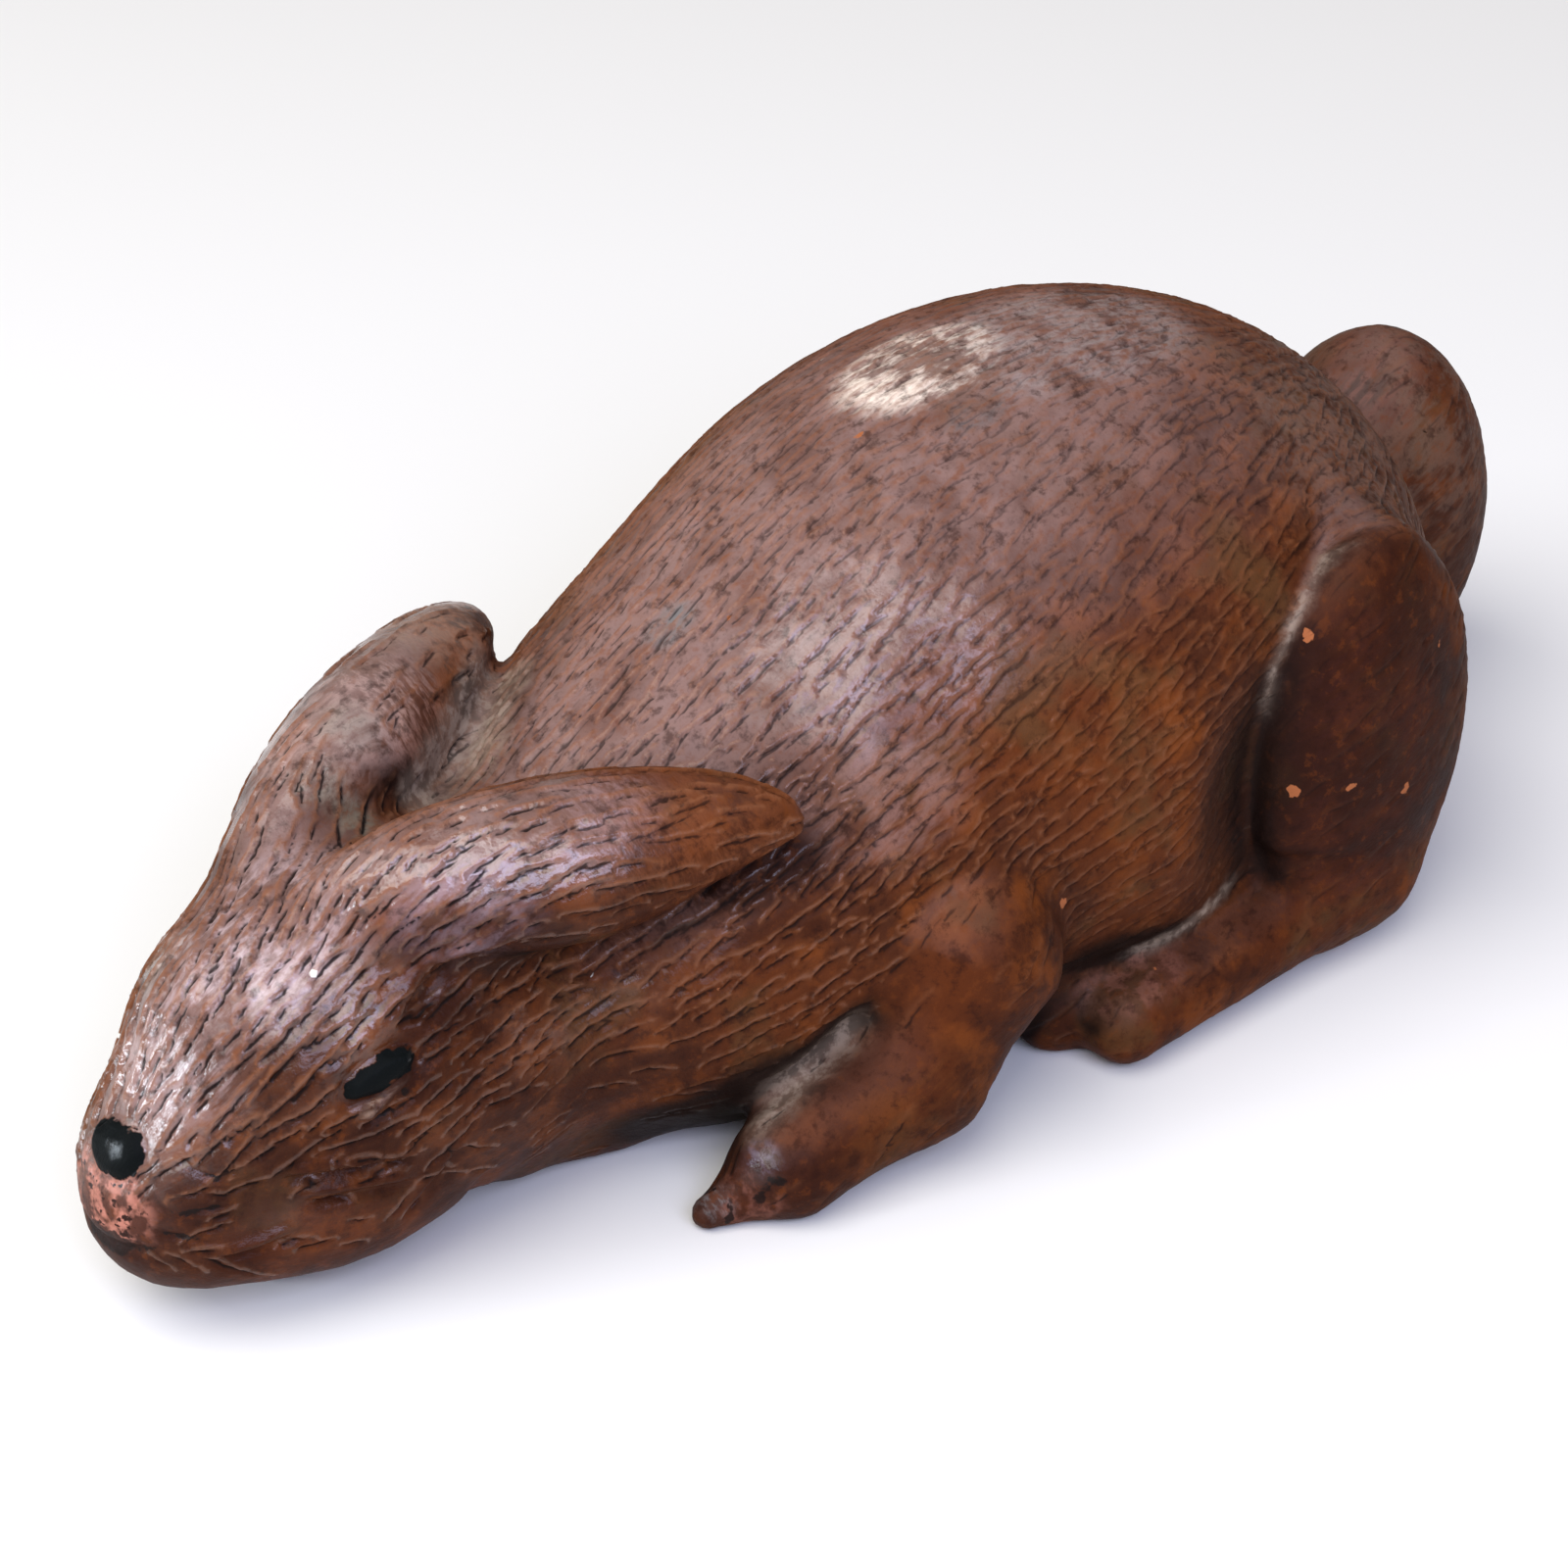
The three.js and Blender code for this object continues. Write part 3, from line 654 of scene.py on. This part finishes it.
# Painted shade: darker on the thigh, towards the floor (less on the foreleg's top), on the sides of the head
# and under the brow.
shade = THIGH_SHADE * on_hind_leg * smooth(z, *THIGH_SHADE_HEIGHT)
shade += LOW_SHADE * fading(z, *LOW_SHADE_HEIGHT) * (1 - LOW_SHADE_OFF_THIGH * on_hind_leg)
shade *= 1 - FORELEG_LIGHT * on_foreleg * smooth(z, *FORELEG_LIGHT_HEIGHT)
shade = np.maximum(shade, HEAD_SHADE * on_head * fading(outward[:, 2], *HEAD_SHADE_FACES))
shade = np.maximum(shade, BROW_SHADE * tool_line(under_brow, BROW_SHADE_WIDTH))
# painted shade in the listed places, with the wax's gloss taken off there
for centre, radii, share in PAINTED_SHADE_PLACES:
    dark = share * soft_spot(left_spots, centre, radii, SHADE_PAST_RIM)
    shade = np.maximum(shade, dark)
    wax *= 1 - dark
# Painted sheen with wear: paler on the faces turned up towards the high window light, less so on the rump,
# the legs and the left ear's rear.
bloom = smooth(outward @ unit(SHEEN_FACES), *SHEEN_EDGE)
bloom = bloom * (1 - RUMP_DULLING * smooth(x, *RUMP_RUN)) * (1 - LEG_DULLING * on_legs)
left_ear_rear = on_ears * smooth(x, *EAR_REAR_RUN) * (y < 0)
bloom *= 1 - EAR_REAR_DULLING * left_ear_rear
wax *= (1 - left_ear_rear) * fading(hollow_wide, *WAX_HOLLOWS)
paint = np.zeros((len(spots), 4))
for centre, radii, colour, share in TINTS_AND_PAINTED_LIGHT:
    share = share * soft_spot(spots, centre, radii, TINT_PAST_RIM)
    paint[:, :3] += share[:, None] * np.array(colour)
    paint[:, 3] += share
# painted highlight: a pale line along the lower lid's ridge
paint += LID_HIGHLIGHT_SHARE * lid[:, None] * np.array((*LID_HIGHLIGHT, 1))
paint[:, :3] /= np.maximum(paint[:, 3:], 1e-6)
paint[:, 3] = np.minimum(paint[:, 3], 1)
skin.vertices.foreach_set("co", (spots * MM).ravel())
store("FLOAT_VECTOR", lie=lie, grain=grain * MM)
store("FLOAT_COLOR", paint=paint)
store("FLOAT", cover=cover, depth=depth, ink=ink, wax=wax, bloom=bloom, shade=shade, glaze=glaze, gloss=gloss,
      hollow_close=hollow_close, hollow_wide=hollow_wide, dust=dust, bare=bare, stain=stain,
      chips=dots(CHIPS), specks=dots(SPECKS))
skin.update()


# The clay's finish. Red-brown fired clay under a dark wax: the wax is near black in the cuts, thin and
# warm on the flanks, and rubbed to a dull sheen on the crown and the back. Some colours also paint
# light and shade: the near black doubles as painted shade in the hollows, the lit clay is a painted
# highlight on the burrs' ridges, the rubbed pink on the upward faces is partly wear and partly
# painted sheen, and the dust grey also paints the highlight along the thigh's rim.
CLAY_RED = (0.100, 0.024, 0.006)
CLAY_WARM = (0.150, 0.038, 0.008)
CLAY_DEEP = (0.050, 0.014, 0.006)
CLAY_OLIVE = (0.085, 0.038, 0.014)
CLAY_LIT = (0.25, 0.088, 0.034)
CLAY_SHADE = (0.022, 0.0065, 0.004)
WAX_AND_SHADE_BLACK = (0.010, 0.006, 0.005)
RUBBED_AND_SHEEN = (0.235, 0.142, 0.122)
DUST_AND_RIM_LIGHT_GREY = (0.33, 0.25, 0.19)
BARE_CLAY = (0.43, 0.165, 0.115)
CHIP_ORANGE = (0.36, 0.115, 0.042)
SPECK_WHITE = (0.75, 0.70, 0.62)
GLAZE_BLACK = (0.004, 0.005, 0.005)
BLOTCH_SCALE, OLIVE_SCALE, PATCH_SCALE = 38, 75, 120
RAG_SCALE, MOTTLE_SCALE, PIT_SCALE, PORE_SCALE = 420, 520, 750, 900
STREAK_SCALE, FINE_STREAK_SCALE, STREAK_STRETCH = 900, 2400, (0.22, 1, 1)
FACET_SCALE = 420
RAG = 2.4
PIT_HEIGHT, STREAK_HEIGHT, FINE_STREAK_HEIGHT, FACET_HEIGHT = 1.3, 0.6, 0.3, 3.5
BUMP_STRENGTH, BUMP_DISTANCE = 0.5, 0.00022
SPECULAR, COAT_ROUGHNESS, COAT_IOR = 0.04, 0.2, 1.65


def material_tree(name):
    material = bpy.data.materials.new(name)
    material.use_nodes = True
    tree = material.node_tree
    return material, tree, tree.nodes["Principled BSDF"]


def fill(tree, socket, value):
    """Links the value if it is another node's socket, and sets it if it is a number or a colour."""
    if isinstance(value, bpy.types.NodeSocket):
        tree.links.new(value, socket)
    else:
        socket.default_value = (*value, 1) if socket.type == "RGBA" else value


def node(tree, kind, settings=None, **sockets):
    """Adds a node. Its sockets are given by name, or by number as in i0 where names repeat."""
    made = tree.nodes.new(kind)
    for key, value in (settings or {}).items():
        setattr(made, key, value)
    for key, value in sockets.items():
        numbered = key[0] == "i" and key[1:].isdigit()
        fill(tree, made.inputs[int(key[1:]) if numbered else key.replace("_", " ")], value)
    return made


def math_node(tree, operation, *values, clamp=False):
    sockets = {f"i{n}": value for n, value in enumerate(values)}
    return node(tree, "ShaderNodeMath", dict(operation=operation, use_clamp=clamp), **sockets).outputs[0]


def times(tree, total, *values):
    for value in values:
        total = math_node(tree, "MULTIPLY", total, value)
    return total


def plus(tree, total, *values):
    for value in values:
        total = math_node(tree, "ADD", total, value)
    return total


def attribute(tree, name, output="Fac"):
    return node(tree, "ShaderNodeAttribute", dict(attribute_name=name)).outputs[output]


def noise(tree, where, scale, detail=3.0, roughness=0.55):
    made = node(tree, "ShaderNodeTexNoise", Vector=where, Scale=scale, Detail=detail, Roughness=roughness)
    return made.outputs[0]


def ramp(tree, value, start, end, first=0.0, last=1.0):
    """Goes smoothly from the first number to the last while the value goes from start to end."""
    made = node(tree, "ShaderNodeMapRange", dict(interpolation_type="SMOOTHSTEP"), Value=value,
                From_Min=start, From_Max=end, To_Min=first, To_Max=last)
    return made.outputs[0]


def mix(tree, share, one, other):
    return node(tree, "ShaderNodeMix", dict(data_type="RGBA"), i0=share, i6=one, i7=other).outputs[2]


def terracotta():
    material, tree, shader = material_tree("waxed_terracotta")
    place = node(tree, "ShaderNodeTexCoord").outputs["Object"]
    hair = node(tree, "ShaderNodeMapping", Vector=attribute(tree, "grain", "Vector"),
                Scale=STREAK_STRETCH).outputs[0]
    normal = node(tree, "ShaderNodeSeparateXYZ", Vector=node(tree, "ShaderNodeNewGeometry").outputs["Normal"])
    gloss, ink, lip, bare = (attribute(tree, name) for name in ("gloss", "ink", "lip", "bare"))
    paint_share = attribute(tree, "paint", "Alpha")
    blotchy = noise(tree, place, BLOTCH_SCALE)
    patchy = noise(tree, place, PATCH_SCALE, 4)
    olive = noise(tree, place, OLIVE_SCALE, 4)
    ragged_noise = noise(tree, place, RAG_SCALE, 3)
    mottle = noise(tree, place, MOTTLE_SCALE, 4, 0.65)
    pitted = noise(tree, place, PIT_SCALE, 4, 0.6)
    pores = noise(tree, place, PORE_SCALE, 3)
    streak = noise(tree, hair, STREAK_SCALE, 4, 0.6)
    fine_streak = noise(tree, hair, FINE_STREAK_SCALE, 2)
    facets = node(tree, "ShaderNodeTexVoronoi", Vector=place, Scale=FACET_SCALE).outputs[0]
    rag = times(tree, math_node(tree, "SUBTRACT", ragged_noise, 0.5), RAG)

    def ragged(name, *edge):
        """The named stain with a torn edge, none of it where the stain is nought."""
        value = attribute(tree, name)
        torn = times(tree, rag, math_node(tree, "MULTIPLY", value, 4.0, clamp=True))
        return ramp(tree, plus(tree, value, torn), *edge)

    # Dark wax in the hollows, and painted shade there: the near black fades on faces that look up.
    hollow_wax_and_shade = math_node(tree, "MAXIMUM", attribute(tree, "hollow_close"), attribute(tree, "hollow_wide"))
    hollow_wax_and_shade = times(tree, ramp(tree, hollow_wax_and_shade, 0.1, 0.55, 0, 0.93),
                    ramp(tree, normal.outputs["Z"], 0.1, 0.8, 1, 0.25),
                    math_node(tree, "MULTIPLY_ADD", paint_share, -0.9, 1.0))
    dust = times(tree, attribute(tree, "dust"), ramp(tree, patchy, 0.3, 0.6, 0.5, 0.9),
                 ramp(tree, mottle, 0.38, 0.56, 1, 0.4))
    inked = times(tree, ramp(tree, attribute(tree, "cut"), 0.42, 0.82), ink)
    glaze = ragged("glaze", 0.4, 0.6)
    colour = CLAY_DEEP
    for share, coat_colour in (
        (ramp(tree, blotchy, 0.38, 0.62), CLAY_RED),
        (ramp(tree, patchy, 0.48, 0.66), CLAY_WARM),
        (ramp(tree, olive, 0.52, 0.66, 0, 0.75), CLAY_OLIVE),
        # paler upward faces, partly wear and partly painted sheen
        (times(tree, attribute(tree, "bloom"), ramp(tree, patchy, 0.3, 0.6, 0.45, 1)), RUBBED_AND_SHEEN),
        (times(tree, paint_share, ramp(tree, plus(tree, streak, patchy), 0.85, 1.15, 0.1, 1)),
         attribute(tree, "paint", "Color")),
        (ramp(tree, streak, 0.58, 0.75, 0, 0.35), CLAY_DEEP),
        # painted highlight on the burrs' ridges
        (times(tree, lip, 0.75), CLAY_LIT),
        # painted shade
        (times(tree, attribute(tree, "shade"), ramp(tree, patchy, 0.3, 0.65, 1, 0.7)), CLAY_SHADE),
        (times(tree, bare, ramp(tree, ragged_noise, 0.42, 0.6, 0.1, 1)), BARE_CLAY),
        (ramp(tree, mottle, 0.5, 0.7, 0, 0.6), CLAY_SHADE),
        (ramp(tree, mottle, 0.46, 0.32, 0, 0.35), CLAY_WARM),
        # dark wax and painted shade in the hollows
        (hollow_wax_and_shade, WAX_AND_SHADE_BLACK),
        # dust, and the painted highlight on the thigh's rim
        (dust, DUST_AND_RIM_LIGHT_GREY),
        (times(tree, bare, ramp(tree, pores, 0.56, 0.64)), CLAY_SHADE),
        (ragged("stain", 0.4, 0.6, 0, 0.9), WAX_AND_SHADE_BLACK),
        (ragged("chips", 0.5, 0.62), CHIP_ORANGE),
        (ramp(tree, attribute(tree, "specks"), 0.5, 0.6), SPECK_WHITE),
        (inked, WAX_AND_SHADE_BLACK),
        (glaze, GLAZE_BLACK),
    ):
        colour = mix(tree, share, colour, coat_colour)

    rough = plus(tree, ramp(tree, patchy, 0.3, 0.7, 0.42, 0.56), times(tree, dust, 0.3),
                 times(tree, gloss, -0.28), times(tree, pitted, 0.1))
    height = plus(tree, times(tree, pitted, PIT_HEIGHT), times(tree, streak, STREAK_HEIGHT),
                  times(tree, fine_streak, FINE_STREAK_HEIGHT), times(tree, gloss, facets, FACET_HEIGHT))
    bump = node(tree, "ShaderNodeBump", Height=height, Strength=BUMP_STRENGTH,
                Distance=BUMP_DISTANCE).outputs[0]
    covered = math_node(tree, "MAXIMUM", plus(tree, dust, inked, hollow_wax_and_shade), times(tree, glaze, 2.0))
    covered = plus(tree, covered, times(tree, gloss, -2.0))
    coat = times(tree, math_node(tree, "MAXIMUM", attribute(tree, "wax"), times(tree, gloss, 0.9)),
                 ramp(tree, patchy, 0.35, 0.6, 0.35, 1),
                 math_node(tree, "SUBTRACT", 1.0, covered, clamp=True))
    coat = math_node(tree, "MAXIMUM", coat, times(tree, ramp(tree, lip, 0.3, 0.7, 0, 0.45), ink))
    for socket, value in (
        ("Base Color", colour), ("Roughness", rough), ("Normal", bump), ("Coat Weight", coat),
        ("Coat Normal", bump), ("Specular IOR Level", SPECULAR), ("Coat Roughness", COAT_ROUGHNESS),
        ("Coat IOR", COAT_IOR),
    ):
        fill(tree, shader.inputs[socket], value)
    return material


# The fur. Short strokes cut into the leather-hard clay with a small modelling tool, some thousands of
# them, each deepest near its root and lifting out at its tip, with a low burr of clay beside it.
FUR = dict(Spacing=2.1 * MM, Length=5.2 * MM, Width=0.25 * MM, Depth=0.5 * MM, Burr=0.22 * MM,
           Lift=0.5 * MM, Wander=1.1 * MM, Rag=0.5 * MM, Lump=0.4 * MM, Seed=7, Clay=terracotta())
STROKE_POINTS = 8
STROKE_DENSITY = 9e5
SHORTEST, LONGEST, LENGTH_SEED = 0.45, 1.5, 23
SWERVE, SWERVE_SEED = 0.16, 11
LIFT_FREE, LIFT_CURVE = 0.4, 3.0
BURR_OFFSET, BURR_FAR_SIDE = 2.3, 0.15
UNEVEN_GAIN, UNEVEN_LEAST = 1.3, 0.35
LUMP_SCALE, SMALL_LUMP_SCALE, SMALL_LUMP_SHARE, LUMP_MIDDLE = 90.0, 330.0, 0.8, 0.9
WANDER_SCALE, SHAKE_SCALE, UNEVEN_SCALE = 260.0, 800.0, 180.0
SKIN_TRIANGLES = 196000


def named(tree, name, kind="FLOAT"):
    return node(tree, "GeometryNodeInputNamedAttribute", dict(data_type=kind), Name=name).outputs[0]


def keep_named(tree, surface, name, value):
    return node(tree, "GeometryNodeStoreNamedAttribute", dict(data_type="FLOAT", domain="POINT"),
                Geometry=surface, Name=name, Value=value).outputs[0]


def vector_node(tree, operation, *values):
    sockets = {("Scale" if operation == "SCALE" and n else f"i{n}"): value for n, value in enumerate(values)}
    return node(tree, "ShaderNodeVectorMath", dict(operation=operation), **sockets).outputs[0]


def strayed(tree, place, scale, distance):
    """The place, moved about at random by up to half the distance."""
    stray = node(tree, "ShaderNodeTexNoise", Vector=place, Scale=scale, Detail=1.0).outputs["Color"]
    stray = vector_node(tree, "SUBTRACT", stray, (0.5, 0.5, 0.5))
    return vector_node(tree, "ADD", place, vector_node(tree, "SCALE", stray, distance))


def bell(tree, distance, middle, width):
    off = math_node(tree, "DIVIDE", math_node(tree, "SUBTRACT", distance, middle), width)
    return math_node(tree, "EXPONENT", times(tree, off, off, -1.0))


def fur_tree():
    tree = bpy.data.node_groups.new("fur_strokes", "GeometryNodeTree")
    tree.interface.new_socket("Geometry", in_out="INPUT", socket_type="NodeSocketGeometry")
    for name, value in FUR.items():
        kind = {float: "Float", int: "Int"}.get(type(value), "Material")
        tree.interface.new_socket(name, in_out="INPUT", socket_type="NodeSocket" + kind)
    tree.interface.new_socket("Geometry", in_out="OUTPUT", socket_type="NodeSocketGeometry")
    given = tree.nodes.new("NodeGroupInput").outputs
    place = node(tree, "GeometryNodeInputPosition").outputs[0]

    lumps = plus(tree, noise(tree, place, LUMP_SCALE, 2.0),
                 times(tree, noise(tree, place, SMALL_LUMP_SCALE, 2.0), SMALL_LUMP_SHARE))
    rise = times(tree, math_node(tree, "SUBTRACT", lumps, LUMP_MIDDLE), given["Lump"])
    normal = node(tree, "GeometryNodeInputNormal").outputs[0]
    lumpy = node(tree, "GeometryNodeSetPosition", Geometry=given["Geometry"],
                 Offset=vector_node(tree, "SCALE", normal, rise)).outputs[0]

    seeds = node(tree, "GeometryNodeDistributePointsOnFaces", dict(distribute_method="POISSON"),
                 Mesh=lumpy, Distance_Min=given["Spacing"], Density_Max=STROKE_DENSITY,
                 Density_Factor=named(tree, "cover"), Seed=given["Seed"])
    swerve = node(tree, "FunctionNodeRandomValue", dict(data_type="FLOAT_VECTOR"), Seed=SWERVE_SEED,
                  i0=(-SWERVE,) * 3, i1=(SWERVE,) * 3)
    heading = vector_node(tree, "ADD", named(tree, "lie", "FLOAT_VECTOR"), swerve.outputs[0])
    facing = node(tree, "FunctionNodeAlignRotationToVector", dict(axis="X"), Vector=heading)
    facing = node(tree, "FunctionNodeAlignRotationToVector", dict(axis="Z", pivot_axis="X"),
                  Rotation=facing.outputs[0], Vector=seeds.outputs["Normal"])
    spread = node(tree, "FunctionNodeRandomValue", dict(data_type="FLOAT"), Seed=LENGTH_SEED,
                  i2=SHORTEST, i3=LONGEST)
    long = times(tree, given["Length"], spread.outputs[1])
    line = node(tree, "GeometryNodeCurvePrimitiveLine", Start=(-0.5, 0, 0), End=(0.5, 0, 0))
    stroke = node(tree, "GeometryNodeResampleCurve", Curve=line.outputs[0], Count=STROKE_POINTS)
    scale = node(tree, "ShaderNodeCombineXYZ", X=long, Y=long, Z=long)
    strokes = node(tree, "GeometryNodeInstanceOnPoints", Points=seeds.outputs[0], Instance=stroke.outputs[0],
                   Rotation=facing.outputs[0], Scale=scale.outputs[0])
    strokes = node(tree, "GeometryNodeRealizeInstances", Geometry=strokes.outputs[0]).outputs[0]

    waved = strayed(tree, place, WANDER_SCALE, given["Wander"])
    onto = node(tree, "GeometryNodeProximity", dict(target_element="FACES"), i0=lumpy, Sample_Position=waved)
    normal_there = node(tree, "GeometryNodeSampleNearestSurface", dict(data_type="FLOAT_VECTOR"), Mesh=lumpy,
                        Value=normal, Sample_Position=waved)
    along = node(tree, "GeometryNodeSplineParameter").outputs["Factor"]
    off = math_node(tree, "SUBTRACT", along, LIFT_FREE)
    lift = times(tree, off, off, LIFT_CURVE, given["Lift"])
    landed = vector_node(tree, "ADD", onto.outputs["Position"],
                         vector_node(tree, "SCALE", normal_there.outputs[0], lift))
    strokes = node(tree, "GeometryNodeSetPosition", Geometry=strokes, Position=landed).outputs[0]
    wires = node(tree, "GeometryNodeCurveToMesh", Curve=strokes).outputs[0]

    here = strayed(tree, place, SHAKE_SCALE, given["Rag"])
    nearest = node(tree, "GeometryNodeProximity", dict(target_element="EDGES"), i0=wires,
                   Sample_Position=here)
    gap = nearest.outputs["Distance"]
    away = vector_node(tree, "SUBTRACT", here, nearest.outputs["Position"])
    across = vector_node(tree, "CROSS_PRODUCT", normal, named(tree, "lie", "FLOAT_VECTOR"))
    beside = node(tree, "ShaderNodeVectorMath", dict(operation="DOT_PRODUCT"), i0=away, i1=across)
    beside = math_node(tree, "DIVIDE", beside.outputs["Value"], given["Width"])
    beside = ramp(tree, beside, -1.0, 1.0, BURR_FAR_SIDE, 1.0)
    uneven = math_node(tree, "MULTIPLY_ADD", noise(tree, place, UNEVEN_SCALE, 2.0), UNEVEN_GAIN, UNEVEN_LEAST)
    width = times(tree, given["Width"], uneven)
    groove = bell(tree, gap, 0.0, width)
    burr = times(tree, bell(tree, gap, times(tree, width, BURR_OFFSET), width), beside)
    depth = named(tree, "depth")
    pressed = times(tree, groove, given["Depth"], uneven)
    change = times(tree, math_node(tree, "SUBTRACT", times(tree, burr, given["Burr"]), pressed), depth)
    cut = keep_named(tree, lumpy, "cut", groove)
    cut = keep_named(tree, cut, "lip", times(tree, burr, depth))
    cut = node(tree, "GeometryNodeSetPosition", Geometry=cut,
               Offset=vector_node(tree, "SCALE", normal, change)).outputs[0]
    cut = node(tree, "GeometryNodeRealizeInstances", Geometry=cut).outputs[0]
    cut = node(tree, "GeometryNodeSetMaterial", Geometry=cut, Material=given["Clay"]).outputs[0]
    node(tree, "NodeGroupOutput", i0=cut)
    return tree


fur = rabbit.modifiers.new("fur", "NODES")
fur.node_group = fur_tree()
for socket in fur.node_group.interface.items_tree:
    if socket.in_out == "INPUT" and socket.name in FUR:
        fur[socket.identifier] = FUR[socket.name]
skin = applied(rabbit)
thinner = rabbit.modifiers.new("thinner", "DECIMATE")
thinner.ratio = SKIN_TRIANGLES / sum(len(face.vertices) - 2 for face in skin.polygons)
skin = applied(rabbit)
skin.polygons.foreach_set("use_smooth", [True] * len(skin.polygons))

low_corner, high_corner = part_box("rabbit")
corners = np.array([vertex.co for vertex in skin.vertices])
shift = (Vector(low_corner) + Vector(high_corner)) / 2 - Vector((corners.min(0) + corners.max(0)) / 2)
for vertex in skin.vertices:
    vertex.co += Vector((shift.x, shift.y, 0))
    vertex.co.z = max(vertex.co.z, 0)
skin.update()
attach(rabbit, "root")
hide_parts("rabbit")


# The floor. A plain pale sheet of paper under the rabbit, one flat face that is wide enough to fill
# every view. It belongs to the studio.
FLOOR_HALF = 6.0
FLOOR_DROP = 0.0001
FLOOR_PALE = (0.89, 0.87, 0.83)
FLOOR_ROUGHNESS, FLOOR_SPECULAR = 0.9, 0.1
floor = add_piece("floor", [(FLOOR_HALF * a, FLOOR_HALF * b, -FLOOR_DROP)
                            for a, b in ((-1, -1), (1, -1), (1, 1), (-1, 1))], [(0, 1, 2, 3)])
paper, paper_tree, paper_shader = material_tree("pale_paper")
for socket, value in (("Base Color", FLOOR_PALE), ("Roughness", FLOOR_ROUGHNESS),
                      ("Specular IOR Level", FLOOR_SPECULAR)):
    fill(paper_tree, paper_shader.inputs[socket], value)
floor.data.materials.append(paper)


# The studio. A wide soft window high in front of the nose, a cool sky light above the left side, a
# small cool light low beyond the nose, and a weak even light all round. Angles are in degrees, from
# the rabbit's left side round towards its tail, and up from the floor.
MIDDLE = Vector((0, 0, 0.03))
LIGHTS = dict(
    window=dict(azimuth=-84, elevation=60, distance=1.5, width=1.5, height=1.1,
                watts=22, tint=(1, 0.99, 0.975)),
    sky=dict(azimuth=-24, elevation=38, distance=1.0, width=0.6, height=0.45,
             watts=6.5, tint=(0.62, 0.68, 1)),
    low_window=dict(azimuth=-112, elevation=11, distance=0.9, width=0.26, height=0.2,
                    watts=4, tint=(0.8, 0.9, 1)),
)
EVEN_TINT, EVEN_STRENGTH = (1, 0.98, 0.96, 1), 0.25


def add_looking(name, data, place, sight):
    """Adds a light or the camera at the place, looking back against the line of sight."""
    holder = bpy.data.objects.new(name, data)
    holder.location = place
    holder.rotation_euler = (-sight).to_track_quat("-Z", "Y").to_euler()
    bpy.context.collection.objects.link(holder)
    return holder


def toward(azimuth, elevation):
    a, e = math.radians(azimuth), math.radians(elevation)
    return Vector((math.sin(a) * math.cos(e), -math.cos(a) * math.cos(e), math.sin(e)))


def soft_light(name, azimuth, elevation, distance, width, height, watts, tint):
    lamp = bpy.data.lights.new(name, "AREA")
    lamp.shape = "RECTANGLE"
    lamp.size, lamp.size_y = width, height
    lamp.energy = watts
    lamp.color = tint
    sight = toward(azimuth, elevation)
    add_looking(name, lamp, MIDDLE + distance * sight, sight)


for name, light in LIGHTS.items():
    soft_light(name, **light)
world = bpy.data.worlds.new("studio")
world.use_nodes = True
world.node_tree.nodes["Background"].inputs["Color"].default_value = EVEN_TINT
world.node_tree.nodes["Background"].inputs["Strength"].default_value = EVEN_STRENGTH
bpy.context.scene.world = world
bpy.context.scene.view_settings.view_transform = "Standard"


# The camera, looking down on the rabbit's left side from in front of its nose, with the lens and the
# distance that give the photograph's framing.
LOOK_AT = Vector((0.01888, 0.03396, 0))
CAMERA_AZIMUTH, CAMERA_ELEVATION = -42, 33
CAMERA_DISTANCE = 0.52
FOCAL_PIXELS = 3952
FRAME_PIXELS = 1600
SENSOR = 36
camera = bpy.data.cameras.new("camera")
camera.sensor_width = SENSOR
camera.lens = SENSOR * FOCAL_PIXELS / FRAME_PIXELS
sight = toward(CAMERA_AZIMUTH, CAMERA_ELEVATION)
bpy.context.scene.camera = add_looking("camera", camera, LOOK_AT + CAMERA_DISTANCE * sight, sight)
